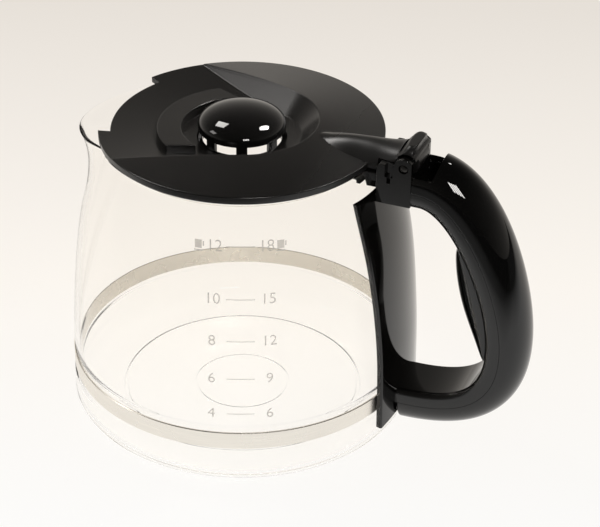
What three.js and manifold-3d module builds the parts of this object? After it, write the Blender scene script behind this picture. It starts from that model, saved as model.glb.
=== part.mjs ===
// Glass carafe of a drip coffee maker: blown jug, steel clamp band, black handle and hinged lid.
// Millimetres. The jug stands on z = 0 round the Z axis, the handle points along +X and the lip along -X.
import * as THREE from 'three';
import { mergeVertices } from 'three/addons/utils/BufferGeometryUtils.js';
import Module from 'manifold-3d';

const wasm = await Module();
wasm.setup();

// Clearances
const SEAT_GAP = 0.3; // between pieces that rest on each other
const RUN_GAP = 0.5; // between pieces that turn past each other
const SADDLE_GAP = 0.6; // between the handle's strap and the glass
const JOIN = 1; // how far fused features sink into each other

// Glass jug
const JUG_HEIGHT = 126.3;
const GLASS_WALL = 2;
const GLASS_FLOOR = 2.5;
const FOOT_CORNER = 7; // radius between base and wall
const BODY_RADIUS = 74.5; // at the foot, where the jug is widest
const BELLY_INSET = 1.2; // from the widest radius, as the next two
const BELLY_HEIGHT = 48;
const SHOULDER_INSET = 5.6;
const SHOULDER_HEIGHT = 90;
const NECK_INSET = 15.7;
const BASE_RING_RADII = [20.5, 52]; // mould rings under the base
const BASE_RING_WIDTH = 1.6;
const BASE_RING_DEPTH = 0.3;
const LIP_REACH = 14.2; // how far the lip is drawn out past the neck
const LIP_DROP = 4.5;
const LIP_HALF_ANGLE = 36; // degrees
const LIP_ROOT_DROP = 28.3; // below the glass rim, where the lip begins
const LIP_POWERS = { across: 1.3, up: 2 }; // how the lip's draw fades to its sides and downward

// Clamp band
const BAND_BOTTOM = 18.2;
const BAND_WIDTH = 8;
const BAND_THICKNESS = 0.7;
const BAND_SEAT_DEPTH = 0.9; // channel in the glass
const EAR_OFFSET = 3; // inner face of each ear from the middle plane
const EAR_LENGTH = 12.3; // outside the glass
const EAR_HEIGHT = 6.4;
const EAR_TOP = 22;
const BAND_SCREW_RADIUS = 1.9;
const BAND_SCREW_HEAD_RADIUS = 3.3;
const BAND_SCREW_HEAD = 2.4;
const BAND_NUT_SIZE = 6.6;
const BAND_NUT_THICKNESS = 3.2;

// Handle: strap on the glass, hinge head, grip
const SADDLE_WALL = 2.5;
const SADDLE_HALF_ANGLES = { top: 20.8, foot: 17.2 }; // degrees
const SADDLE_FLARE_FROM = 40; // height above which the strap widens
const SADDLE_TOP_DROP = 8.6; // below the glass rim
const SADDLE_FOOT_EDGE = 10.5;
const SADDLE_FOOT_MIDDLE = 13;
const GRIP_TOP_DROP = 11.1; // underside of the upper arm, below the glass rim
const GRIP_FOOT = 25; // upper side of the lower arm
const GRIP_CLEARANCE = 39.8; // finger side of the grip at its waist, out from the widest glass
const GRIP_WAIST = 54; // height of the waist
const GRIP_BEND_OFFSET = 23.2; // where the upper arm begins to bend, out from the neck
const GRIP_PULLS = [13.5, 24, 21.2, 27.3]; // how strongly each end of the two bends is drawn on
const GRIP_DEPTHS = { top: 21.4, waist: 16.8, foot: 19.2 };
const GRIP_HALF_WIDTHS = { top: 12.3, waist: 13.2, foot: 12.4 };
const SEAM_DEPTH = 6.3; // depth of the frame's side walls
const SEAM_GAP = 0.4;
const SHELL_WALL = 2.4;
const EDGE_ROUND = 1.2;
const HEAD_OFFSET = 5.2; // between the neck and the hinge head
const HEAD_LENGTH = 15;
const HEAD_RISE = 6.7; // top of the hinge head above the glass rim
const CHEEK_RADIUS = 4.4; // rounding of the cheeks round the pin
const SLOT_HALF_WIDTH = 6.9;
const SLOT_RISE = 1.6; // floor of the hinge slot above the glass rim
// Recess in each cheek, with its heights measured down from the head's top.
const KEYHOLE = { width: 3.4, step: 5.4, narrow: 1.6, bottom: 8.2, depth: 2 };
const KEYHOLE_OFFSET = 5.3; // middle of the keyhole from the back of the head
const HOOK_HALF_WIDTH = 11.4;
const HOOK_REACH = 4; // of the hook's inner face past the outside of the neck
const HOOK_DROP = 4.9; // below the glass rim
const POCKET_WALL = 2.6; // end wall behind the thumb lever's pocket
const INSERT_SPAN = [0.225, 0.623]; // shares of the grip's length
const INSERT_HEIGHT = 11.2;
const INSERT_END_HEIGHT = 2.2;
const INSERT_SWELL = 0.6; // power of the sine that the insert's height follows; lower is fuller
const INSERT_WALL = 1.8;
const INSERT_MARGIN = 1.4;

// Screws that hold the handle cover
const COVER_SCREW_RADIUS = 1.6;
const COVER_SCREW_HEAD_RADIUS = 3;
const COVER_SCREW_HEAD = 1.9;
const COVER_BOSS_WALL = 1.8;
const COVER_SCREW_LENGTH = 9;
const LOWER_SCREW_AT = 0.88; // share of the grip's length
const LOWER_SCREW_RECESS = 5; // shoulder under the screw head, below the grip's outer side
const LOWER_BOSS_MEET = 9; // depth at which the bosses of frame and cover meet
const GRIP_SCREW_AT = 0.44; // share of the grip's length

// Lid
const LID_OVERHANG = 1.2; // past the neck
const LID_RISE = 4.5; // outer edge of the lid above the glass rim
const LID_WALL = 2.5;
const CONE_RISE = 4.2; // rise of the lid's cone from the rim to the edge of the well
const WELL_TOP_RADIUS = 32.4;
const WELL_FLOOR_RADIUS = 24.7;
const WELL_DEPTH = 4.6; // floor of the well below the lid's edge
const WELL_FLAT_RADIUS = 22;
const RECESS_RIM_DROP = 0.4; // recess floor below the rim where it runs out
const RECESS_WALL_ANGLE = 68; // degrees from the handle to the normal of each straight wall
const RIM_NOTCH_HALF_ANGLE = 26; // degrees
const RIM_NOTCH_DEPTH = 5;
const COLLAR_INNER = 25.4;
const COLLAR_OUTER = 35.6;
const COLLAR_END_ANGLE = 67; // degrees, normal of each cut end
const COLLAR_END_DISTANCE = 16.9;
const SKIRT_INSET = 5.4; // skirt in from the outside of the neck
const SKIRT_WALL = 2.2;
const SKIRT_DROP = 1.8; // below the glass rim
const RIM_SEAT_WIDTH = 3.4;
const RIM_SEAT_INSET = 0.4;
const POUR_GAP_HALF_ANGLE = 24; // degrees, opening in the skirt behind the lip
const ARM_RADIUS = 6.4;
const ARM_RISE = 0.1; // middle of the arm above the lid's edge
const ARM_START = 37;
const ARM_NOSE = 13;

// Hinge and thumb lever
const HINGE_OFFSET = 16.7; // out from the neck
const HINGE_RISE = 1.8; // above the lid's edge
const PIN_RADIUS = 2;
const KNUCKLE_RADIUS = 5;
const KNUCKLE_HALF_WIDTH = 6.5;
const LEVER_HALF_WIDTH = 9.4;
const LEVER_REACH = 9.3; // farthest point of the lever from the hinge
const LEVER_CORNER = 3.4;
const LEVER_FOOT = { front: 118, back: 33 }; // degrees round the hinge
const LEVER_CREST = { front: 82, back: 64 }; // degrees round the hinge
const LEVER_CREST_FALL = 1; // front edge of the crest below its back edge
const LEVER_FRONT_STEP = 0.8;

// Drip dome
const DOME_RADIUS = 18.5;
const DOME_RIM_RISE = 1.1; // foot of the dome's cap above the lid's edge
const DOME_RISE = 7.8;
const DOME_WALL = 1.8;
const DOME_WINDOWS = 8;
const WINDOW_ANGLE = 30.5; // degrees
const WINDOW_HEAD = 1.7; // wall between the windows and the cap
const WINDOW_DEPTH = 0.4; // sill below the floor of the well
const DOME_FLANGE = 2.1; // reach of the flange under the lid
const DOME_FLANGE_THICKNESS = 1.1;

// Facets
const ROUND = 44; // jug, band and lid
const DOME_ROUND = 32;
const HINGE_ROUND = 28; // knuckle, arm and lever pocket
const SMALL_ROUND = 20; // pin and screws
const ARC = 18; // collar, recess and other part circles
const WALL_STEPS = 8; // heights of the glass wall
const SADDLE_STEPS = 8;
const GRIP_STEPS = 26; // stations along the grip
const GRIP_ARC = 10; // facets across the grip
const INSERT_STEPS = 14;
const CURL_STEPS = 7; // dome cap and nose of the lid's arm

const FAR = 200; // reach of cutting shapes past the object
const rad = THREE.MathUtils.degToRad;
const lerp = THREE.MathUtils.lerp;
const smooth = THREE.MathUtils.smoothstep;

// Values from one end to the other in equal steps.
function evenSteps(from, to, steps) {
  return Array.from({ length: steps + 1 }, (_, i) => lerp(from, to, i / steps));
}

// Places that follow from the jug

const neckRadius = BODY_RADIUS - NECK_INSET;
const lipRoot = JUG_HEIGHT - LIP_ROOT_DROP;
const saddleTop = JUG_HEIGHT - SADDLE_TOP_DROP;
const gripTop = JUG_HEIGHT - GRIP_TOP_DROP;
const gripReach = BODY_RADIUS + GRIP_CLEARANCE;
const gripBendStart = neckRadius + GRIP_BEND_OFFSET;
const headBack = neckRadius + HEAD_OFFSET;
const headEnd = headBack + HEAD_LENGTH;
const headTop = JUG_HEIGHT + HEAD_RISE;
const slotFloor = JUG_HEIGHT + SLOT_RISE;
const hookInside = neckRadius - HOOK_REACH;
const hookBottom = JUG_HEIGHT - HOOK_DROP;
const lidRadius = neckRadius + LID_OVERHANG;
const lidEdge = JUG_HEIGHT + LID_RISE;
const wellFloor = lidEdge - WELL_DEPTH;
const skirtRadius = neckRadius - SKIRT_INSET;
const skirtBottom = JUG_HEIGHT - SKIRT_DROP;
const armHeight = lidEdge + ARM_RISE;
const armUnderside = lidEdge - LID_WALL;
const hingeX = neckRadius + HINGE_OFFSET;
const hingeZ = lidEdge + HINGE_RISE;
const domeRim = lidEdge + DOME_RIM_RISE;
const windowTop = domeRim - WINDOW_HEAD;

// Solids

// A geometry as a solid whose faces look outward.
function solid(geometry) {
  const bare = geometry.index ? geometry.toNonIndexed() : geometry.clone();
  bare.deleteAttribute('normal');
  bare.deleteAttribute('uv');
  const merged = mergeVertices(bare, 1e-4);
  const triVerts = new Uint32Array(merged.index.array);
  const make = () =>
    new wasm.Manifold(
      new wasm.Mesh({ numProp: 3, vertProperties: merged.attributes.position.array, triVerts }),
    );
  const made = make();
  if (made.volume() > 0) return made;
  for (let i = 0; i < triVerts.length; i += 3) {
    [triVerts[i + 1], triVerts[i + 2]] = [triVerts[i + 2], triVerts[i + 1]];
  }
  return make();
}

function geometryOf(made) {
  const mesh = made.getMesh();
  const geometry = new THREE.BufferGeometry();
  geometry.setAttribute('position', new THREE.BufferAttribute(mesh.vertProperties, 3));
  geometry.setIndex(new THREE.BufferAttribute(mesh.triVerts, 1));
  const faceted = geometry.toNonIndexed();
  faceted.computeVertexNormals();
  return faceted;
}

// A profile of [radius, height] pairs turned round the Z axis.
function revolve(profile, segments = ROUND) {
  const points = profile.map(([radius, height]) => new THREE.Vector2(Math.max(radius, 0), height));
  return solid(new THREE.LatheGeometry(points, segments).rotateX(Math.PI / 2));
}

// A closed ring of rectangular section round the Z axis.
function ring(inner, outer, bottom, top) {
  return revolve([
    [inner, bottom],
    [outer, bottom],
    [outer, top],
    [inner, top],
    [inner, bottom],
  ]);
}

function box(low, high) {
  const size = high.map((value, i) => value - low[i]);
  const middle = high.map((value, i) => (value + low[i]) / 2);
  return solid(new THREE.BoxGeometry(...size).translate(...middle));
}

// A round bar between two points.
function bar(from, to, radius, segments = SMALL_ROUND) {
  const axis = new THREE.Vector3().subVectors(to, from);
  const geometry = new THREE.CylinderGeometry(radius, radius, axis.length(), segments);
  const turn = new THREE.Quaternion().setFromUnitVectors(
    new THREE.Vector3(0, 1, 0),
    axis.clone().normalize(),
  );
  geometry.applyQuaternion(turn);
  const middle = new THREE.Vector3().addVectors(from, to).multiplyScalar(0.5);
  return solid(geometry.translate(middle.x, middle.y, middle.z));
}

// A round bar along Y through a point of the middle plane.
function crossBar(x, z, radius, halfWidth, segments = SMALL_ROUND) {
  return bar(new THREE.Vector3(x, -halfWidth, z), new THREE.Vector3(x, halfWidth, z), radius, segments);
}

// A plan outline raised from one height to another.
function upright(shape, bottom, top, curveSegments = 12) {
  const geometry = new THREE.ExtrudeGeometry(shape, {
    depth: top - bottom,
    bevelEnabled: false,
    curveSegments,
  });
  return solid(geometry.translate(0, 0, bottom));
}

// A side outline, drawn in X and Z, spread to both sides of the middle plane.
function sideways(shape, low, high, curveSegments = 10) {
  const geometry = new THREE.ExtrudeGeometry(shape, {
    depth: high - low,
    bevelEnabled: false,
    curveSegments,
  });
  return solid(geometry.rotateX(Math.PI / 2).translate(0, high, 0));
}

// Outlines of equal point counts joined from one station to the next, with closed ends.
function loft(stations) {
  const clockwise = THREE.ShapeUtils.isClockWise(stations[0].outline);
  const outlines = stations.map(({ outline }) => (clockwise ? outline.toReversed() : outline));
  const count = outlines[0].length;
  const points = outlines.flatMap((outline, s) => outline.map((p) => stations[s].place(p.x, p.y)));
  const index = [];
  for (let s = 0; s + 1 < stations.length; s++) {
    for (let i = 0; i < count; i++) {
      const a = s * count + i;
      const b = s * count + ((i + 1) % count);
      index.push(a, b, b + count, a, b + count, a + count);
    }
  }
  const last = (stations.length - 1) * count;
  for (const [a, b, c] of THREE.ShapeUtils.triangulateShape(outlines[0], [])) {
    index.push(c, b, a);
  }
  for (const [a, b, c] of THREE.ShapeUtils.triangulateShape(outlines.at(-1), [])) {
    index.push(last + a, last + b, last + c);
  }
  const geometry = new THREE.BufferGeometry().setFromPoints(points);
  geometry.setIndex(index);
  return solid(geometry);
}

// A sector of a disc in plan, between two radii, centred on an azimuth in degrees.
function sector(inner, outer, azimuth, halfAngle) {
  const from = rad(azimuth - halfAngle);
  const to = rad(azimuth + halfAngle);
  const shape = new THREE.Shape();
  shape.absarc(0, 0, outer, from, to, false);
  shape.absarc(0, 0, inner, to, from, true);
  return shape;
}

function halfEllipse(halfWidth, base, depth, steps) {
  return Array.from({ length: steps + 1 }, (_, i) => {
    const angle = (Math.PI * i) / steps;
    return new THREE.Vector2(halfWidth * Math.cos(angle), base + depth * Math.sin(angle));
  });
}

// Glass jug

const bodyCurve = new THREE.SplineCurve([
  new THREE.Vector2(BODY_RADIUS, FOOT_CORNER),
  new THREE.Vector2(BODY_RADIUS - BELLY_INSET, BELLY_HEIGHT),
  new THREE.Vector2(BODY_RADIUS - SHOULDER_INSET, SHOULDER_HEIGHT),
  new THREE.Vector2(neckRadius, JUG_HEIGHT),
]);
const bodyPoints = bodyCurve.getPoints(60);

// Outer radius of the jug at a height, without the band's channel.
function bodyRadius(height) {
  const above = bodyPoints.findIndex((p) => p.y >= height);
  if (above < 0) return neckRadius;
  if (above === 0) return BODY_RADIUS;
  const a = bodyPoints[above - 1];
  const b = bodyPoints[above];
  return lerp(a.x, b.x, (height - a.y) / (b.y - a.y));
}

// The straight channel for the band, sunk from the slimmest glass that it crosses.
const channelEnds = [BAND_BOTTOM - SEAT_GAP, BAND_BOTTOM + BAND_WIDTH + SEAT_GAP];
const channelRadius = Math.min(...channelEnds.map(bodyRadius)) - BAND_SEAT_DEPTH;

// The body swept outward below the rim to form the lip, which also dips.
function drawLip(made) {
  return made.warp((p) => {
    const away = Math.abs(Math.atan2(p[1], -p[0]));
    const share = away / rad(LIP_HALF_ANGLE);
    const height = (p[2] - lipRoot) / (JUG_HEIGHT - lipRoot);
    if (share >= 1 || height <= 0) return;
    const radius = Math.hypot(p[0], p[1]);
    if (radius < neckRadius / 2) return;
    const pull = Math.cos((share * Math.PI) / 2) ** LIP_POWERS.across * height ** LIP_POWERS.up;
    const stretch = 1 + (LIP_REACH * pull) / radius;
    p[0] *= stretch;
    p[1] *= stretch;
    p[2] -= LIP_DROP * pull;
  });
}

function arcPoints(cx, cy, radius, from, to, steps) {
  return Array.from({ length: steps + 1 }, (_, i) => {
    const angle = rad(lerp(from, to, i / steps));
    return [cx + radius * Math.cos(angle), cy + radius * Math.sin(angle)];
  });
}

function glassJug() {
  const below = channelEnds[0] - SEAT_GAP;
  const above = evenSteps(channelEnds[1] + SEAT_GAP, JUG_HEIGHT - GLASS_WALL / 2, WALL_STEPS);
  const outer = (z) => [bodyRadius(z), z];
  const inner = (z) => [bodyRadius(z) - GLASS_WALL, z];
  const channelInside = channelRadius + BAND_SEAT_DEPTH - GLASS_WALL;
  const grooves = BASE_RING_RADII.flatMap((radius) => [
    [radius - BASE_RING_WIDTH / 2, 0],
    [radius, BASE_RING_DEPTH],
    [radius + BASE_RING_WIDTH / 2, 0],
  ]);
  const corner = FOOT_CORNER - GLASS_WALL;
  const rimMiddle = JUG_HEIGHT - GLASS_WALL / 2;
  const made = revolve([
    [0, 0],
    ...grooves,
    ...arcPoints(BODY_RADIUS - FOOT_CORNER, FOOT_CORNER, FOOT_CORNER, -90, 0, 5),
    outer(below),
    ...channelEnds.map((z) => [channelRadius, z]),
    ...above.map(outer),
    [bodyRadius(rimMiddle) - GLASS_WALL / 2, JUG_HEIGHT],
    ...above.toReversed().map(inner),
    ...channelEnds.toReversed().map((z) => [channelInside, z]),
    ...arcPoints(BODY_RADIUS - FOOT_CORNER, GLASS_FLOOR + corner, corner, 0, -90, 3),
    [0, GLASS_FLOOR],
  ]);
  return drawLip(made);
}

// The room that the glass wall needs inside the handle's hook.
function glassRoom() {
  const heights = evenSteps(hookBottom - JOIN, JUG_HEIGHT + SEAT_GAP, 4);
  return revolve([
    ...heights.map((z) => [bodyRadius(z) - GLASS_WALL - SADDLE_GAP, z]),
    ...heights.toReversed().map((z) => [bodyRadius(z) + SADDLE_GAP, z]),
    [bodyRadius(heights[0]) - GLASS_WALL - SADDLE_GAP, heights[0]],
  ]);
}

// Clamp band with its screw and nut

const bandInner = channelRadius + SEAT_GAP;
const bandOuter = bandInner + BAND_THICKNESS;
const earBottom = EAR_TOP - EAR_HEIGHT;
const earRoot = bodyRadius(earBottom) + SADDLE_GAP;
const earEnd = earRoot + EAR_LENGTH;
const bandScrewX = earEnd - EAR_HEIGHT;
const bandScrewZ = EAR_TOP - EAR_HEIGHT / 2;

function bandScrewBore(radius, from, to) {
  return bar(
    new THREE.Vector3(bandScrewX, from, bandScrewZ),
    new THREE.Vector3(bandScrewX, to, bandScrewZ),
    radius,
  );
}

function clampBand() {
  const open = THREE.MathUtils.radToDeg(Math.asin(EAR_OFFSET / bandInner));
  const strip = upright(
    sector(bandInner, bandOuter, 180, 180 - open),
    BAND_BOTTOM,
    BAND_BOTTOM + BAND_WIDTH,
    ROUND,
  );
  const ears = [-1, 1].map((side) => {
    const faces = [side * EAR_OFFSET, side * (EAR_OFFSET + BAND_THICKNESS)].sort((a, b) => a - b);
    const root = box([bandInner, faces[0], BAND_BOTTOM], [earEnd, faces[1], EAR_TOP]);
    return root.add(box([earRoot, faces[0], earBottom], [earEnd, faces[1], EAR_TOP]));
  });
  const bore = bandScrewBore(BAND_SCREW_RADIUS + SEAT_GAP, -FAR, FAR);
  return strip.add(ears[0]).add(ears[1]).subtract(bore);
}

function bandScrew() {
  const seat = -(EAR_OFFSET + BAND_THICKNESS + SEAT_GAP);
  const head = bandScrewBore(BAND_SCREW_HEAD_RADIUS, seat - BAND_SCREW_HEAD, seat);
  const tip = -seat + BAND_NUT_THICKNESS + JOIN;
  return head.add(bandScrewBore(BAND_SCREW_RADIUS, seat - JOIN, tip));
}

function bandNut() {
  const seat = EAR_OFFSET + BAND_THICKNESS + SEAT_GAP;
  const half = BAND_NUT_SIZE / 2;
  const block = box(
    [bandScrewX - half, seat, bandScrewZ - half],
    [bandScrewX + half, seat + BAND_NUT_THICKNESS, bandScrewZ + half],
  );
  return block.subtract(bandScrewBore(BAND_SCREW_RADIUS + SEAT_GAP, -FAR, FAR));
}

// Grip

const gripFootX = bodyRadius(GRIP_FOOT) + SADDLE_GAP + JOIN;
const gripStartX = headEnd - 2 * JOIN;
const gripCurve = new THREE.CurvePath();
gripCurve.add(
  new THREE.LineCurve(
    new THREE.Vector2(gripStartX, gripTop),
    new THREE.Vector2(gripBendStart, gripTop),
  ),
);
gripCurve.add(
  new THREE.CubicBezierCurve(
    new THREE.Vector2(gripBendStart, gripTop),
    new THREE.Vector2(gripBendStart + GRIP_PULLS[0], gripTop),
    new THREE.Vector2(gripReach, GRIP_WAIST + GRIP_PULLS[1]),
    new THREE.Vector2(gripReach, GRIP_WAIST),
  ),
);
gripCurve.add(
  new THREE.CubicBezierCurve(
    new THREE.Vector2(gripReach, GRIP_WAIST),
    new THREE.Vector2(gripReach, GRIP_WAIST - GRIP_PULLS[2]),
    new THREE.Vector2(gripFootX + GRIP_PULLS[3], GRIP_FOOT),
    new THREE.Vector2(gripFootX, GRIP_FOOT),
  ),
);
const gripLengths = gripCurve.getCurveLengths();
const waistShare = gripLengths[1] / gripLengths[2];

// A value along the grip that runs from its top through its waist to its foot.
function alongGrip({ top, waist, foot }, share) {
  if (share < waistShare) return lerp(top, waist, smooth(share, 0, waistShare));
  return lerp(waist, foot, smooth(share, waistShare, 1));
}

// The place of a section point on the grip: y across the handle, depth outward from the finger side.
function gripFrame(share) {
  const point = gripCurve.getPoint(share);
  const ahead = gripCurve.getPoint(Math.min(share + 1e-4, 1));
  const behind = gripCurve.getPoint(Math.max(share - 1e-4, 0));
  const along = ahead.sub(behind).normalize();
  return (y, depth) =>
    new THREE.Vector3(point.x - along.y * depth, y, point.y + along.x * depth);
}

function gripLoft(outlineAt, shares) {
  return loft(shares.map((share) => ({ outline: outlineAt(share), place: gripFrame(share) })));
}

// Share of the grip's length at which its upper arm passes a given X.
function shareAtX(x) {
  return (x - gripStartX) / gripLengths[2];
}

// Stations that frame and cover share, so that their seam runs parallel.
const coverShares = evenSteps(shareAtX(headEnd + SEAT_GAP), 1, GRIP_STEPS);
const frameShares = [0, ...coverShares];

// The frame's half of the grip: a channel open toward the cover.
function channelOutline(share) {
  const half = alongGrip(GRIP_HALF_WIDTHS, share);
  const inside = half - SHELL_WALL;
  return [
    [-half, SEAM_DEPTH],
    [-half, EDGE_ROUND],
    [-half + EDGE_ROUND, 0],
    [half - EDGE_ROUND, 0],
    [half, EDGE_ROUND],
    [half, SEAM_DEPTH],
    [inside, SEAM_DEPTH],
    [inside, SHELL_WALL],
    [-inside, SHELL_WALL],
    [-inside, SEAM_DEPTH],
  ].map(([y, depth]) => new THREE.Vector2(y, depth));
}

// Half-ellipse of the grip's outer side, drawn in by a wall.
function outerSide(share, inset) {
  const base = SEAM_DEPTH + SEAM_GAP;
  const half = alongGrip(GRIP_HALF_WIDTHS, share);
  const depth = alongGrip(GRIP_DEPTHS, share) - base;
  return halfEllipse(half - inset, base, depth - inset, GRIP_ARC);
}

function coverOutline(share) {
  return [...outerSide(share, 0), ...outerSide(share, SHELL_WALL).reverse()];
}

function insertOutline(share) {
  const across = alongGrip(GRIP_HALF_WIDTHS, share) - EDGE_ROUND - INSERT_MARGIN;
  const along = THREE.MathUtils.inverseLerp(...INSERT_SPAN, share);
  const swell = Math.max(Math.sin(Math.PI * along), 0) ** INSERT_SWELL;
  const height = lerp(INSERT_END_HEIGHT, INSERT_HEIGHT, swell);
  const outside = halfEllipse(across, -SEAT_GAP, -height, GRIP_ARC);
  const inside = halfEllipse(across - INSERT_WALL, -SEAT_GAP, -(height - INSERT_WALL), GRIP_ARC);
  return [...outside, ...inside.reverse()];
}

// Screws of the handle cover, laid along the grip's depth

const bossRadius = COVER_SCREW_RADIUS + SEAT_GAP + COVER_BOSS_WALL;
const screwHeadRoom = COVER_SCREW_HEAD_RADIUS + RUN_GAP;
const lowerScrewSeat = alongGrip(GRIP_DEPTHS, LOWER_SCREW_AT) - LOWER_SCREW_RECESS;

// A round bar along the grip's depth, measured outward from the finger side.
function depthBar(share, radius, from, to) {
  const place = gripFrame(share);
  return bar(place(0, from), place(0, to), radius);
}

function coverScrewLower() {
  const seat = lowerScrewSeat + SEAT_GAP;
  const head = depthBar(LOWER_SCREW_AT, COVER_SCREW_HEAD_RADIUS, seat, seat + COVER_SCREW_HEAD);
  return head.add(depthBar(LOWER_SCREW_AT, COVER_SCREW_RADIUS, seat - COVER_SCREW_LENGTH, seat + JOIN));
}

function coverScrewGrip() {
  const seat = -SEAT_GAP;
  const head = depthBar(GRIP_SCREW_AT, COVER_SCREW_HEAD_RADIUS, seat - COVER_SCREW_HEAD, seat);
  return head.add(depthBar(GRIP_SCREW_AT, COVER_SCREW_RADIUS, seat - JOIN, seat + COVER_SCREW_LENGTH));
}

// Hinge head of the handle

const pocketRadius = LEVER_REACH + 2 * RUN_GAP;
const pocketHalfWidth = LEVER_HALF_WIDTH + RUN_GAP;
const pocketEnd = hingeX + pocketRadius;

// The room in which the thumb lever swings back.
function leverPocket() {
  const room = crossBar(hingeX, hingeZ, pocketRadius, pocketHalfWidth, ROUND);
  const back = box([headEnd - JOIN, -FAR, 0], [FAR, FAR, FAR]);
  const above = box([headEnd - JOIN, -pocketHalfWidth, hingeZ], [pocketEnd, pocketHalfWidth, FAR]);
  return room.intersect(back).add(above);
}

function headOutline() {
  const shape = new THREE.Shape();
  shape.moveTo(headBack, gripTop);
  shape.lineTo(headEnd, gripTop);
  shape.lineTo(headEnd, hingeZ);
  const from = Math.acos((headEnd - hingeX) / CHEEK_RADIUS);
  const to = Math.PI - Math.asin((headTop - hingeZ) / CHEEK_RADIUS);
  shape.absarc(hingeX, hingeZ, CHEEK_RADIUS, from, to, false);
  shape.lineTo(headBack + EDGE_ROUND, headTop);
  shape.lineTo(headBack, headTop - EDGE_ROUND);
  return shape;
}

// Keyhole-shaped recess in the face of each cheek.
function keyholes() {
  const half = GRIP_HALF_WIDTHS.top;
  const middle = headBack + KEYHOLE_OFFSET;
  const step = headTop - KEYHOLE.step;
  const cuts = [-1, 1].map((side) => {
    const faces = [side * (half - KEYHOLE.depth), side * FAR].sort((a, b) => a - b);
    const wide = box(
      [middle - KEYHOLE.width / 2, faces[0], step],
      [middle + KEYHOLE.width / 2, faces[1], headTop + JOIN],
    );
    const narrow = box(
      [middle - KEYHOLE.narrow / 2, faces[0], headTop - KEYHOLE.bottom],
      [middle + KEYHOLE.narrow / 2, faces[1], step + JOIN],
    );
    return wide.add(narrow);
  });
  return cuts[0].add(cuts[1]);
}

function hingeHead() {
  const half = GRIP_HALF_WIDTHS.top;
  return sideways(headOutline(), -half, half).subtract(keyholes());
}

// The slot between the cheeks, in which the lid's arm and knuckle turn.
function hingeSlot() {
  const slot = box([0, -SLOT_HALF_WIDTH, slotFloor], [headEnd + JOIN, SLOT_HALF_WIDTH, FAR]);
  return slot.add(crossBar(hingeX, hingeZ, KNUCKLE_RADIUS + RUN_GAP, SLOT_HALF_WIDTH, HINGE_ROUND));
}

// The hook that holds the head on the glass rim.
function rimHook() {
  const block = box(
    [hookInside, -HOOK_HALF_WIDTH, hookBottom],
    [headBack + JOIN, HOOK_HALF_WIDTH, slotFloor],
  );
  return block.subtract(glassRoom());
}

// The strap that lies on the glass, with an arched lower edge.
function saddle() {
  const stations = evenSteps(-1, 1, SADDLE_STEPS).map((share) => {
    const bottom = lerp(SADDLE_FOOT_MIDDLE, SADDLE_FOOT_EDGE, share ** 2);
    const heights = evenSteps(bottom, saddleTop, SADDLE_STEPS);
    const near = heights.map((z) => new THREE.Vector2(bodyRadius(z) + SADDLE_GAP, z));
    const far = near.map((p) => new THREE.Vector2(p.x + SADDLE_WALL, p.y)).reverse();
    const place = (radius, z) => {
      const flare = smooth(z, SADDLE_FLARE_FROM, saddleTop);
      const azimuth = rad(share * lerp(SADDLE_HALF_ANGLES.foot, SADDLE_HALF_ANGLES.top, flare));
      return new THREE.Vector3(radius * Math.cos(azimuth), radius * Math.sin(azimuth), z);
    };
    return { outline: [...near, ...far], place };
  });
  const window = box(
    [0, -(EAR_OFFSET + BAND_THICKNESS + RUN_GAP), earBottom - RUN_GAP],
    [FAR, EAR_OFFSET + BAND_THICKNESS + RUN_GAP, EAR_TOP + RUN_GAP],
  );
  return loft(stations).subtract(window);
}

// The block behind the hinge that closes the cover's mouth and holds the lever's pocket.
function pocketBlock() {
  const end = pocketEnd + POCKET_WALL;
  const half = GRIP_HALF_WIDTHS.top - SHELL_WALL - 2 * SEAT_GAP;
  const inside = (share) => outerSide(share, SHELL_WALL + SEAT_GAP);
  const core = gripLoft(inside, frameShares);
  const coreFoot = gripTop + SEAM_DEPTH + SEAM_GAP;
  const root = box([gripStartX, -half, gripTop + JOIN], [end, half, coreFoot + SEAT_GAP]);
  return core.add(root).intersect(box([0, -FAR, gripTop], [end, FAR, FAR]));
}

function handleFrame() {
  const channel = gripLoft(channelOutline, frameShares);
  const boss = depthBar(LOWER_SCREW_AT, bossRadius, SHELL_WALL - JOIN, LOWER_BOSS_MEET - SEAT_GAP);
  const bore = COVER_SCREW_RADIUS + SEAT_GAP;
  const lowerBore = depthBar(LOWER_SCREW_AT, bore, lowerScrewSeat - COVER_SCREW_LENGTH, lowerScrewSeat);
  const gripBore = depthBar(GRIP_SCREW_AT, bore, -JOIN, SHELL_WALL + JOIN);
  const pin = crossBar(hingeX, hingeZ, PIN_RADIUS + SEAT_GAP, FAR);
  return hingeHead()
    .add(pocketBlock())
    .subtract(hingeSlot())
    .subtract(leverPocket())
    .add(saddle())
    .add(rimHook())
    .add(channel)
    .add(boss)
    .subtract(pin)
    .subtract(lowerBore)
    .subtract(gripBore);
}

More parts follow.
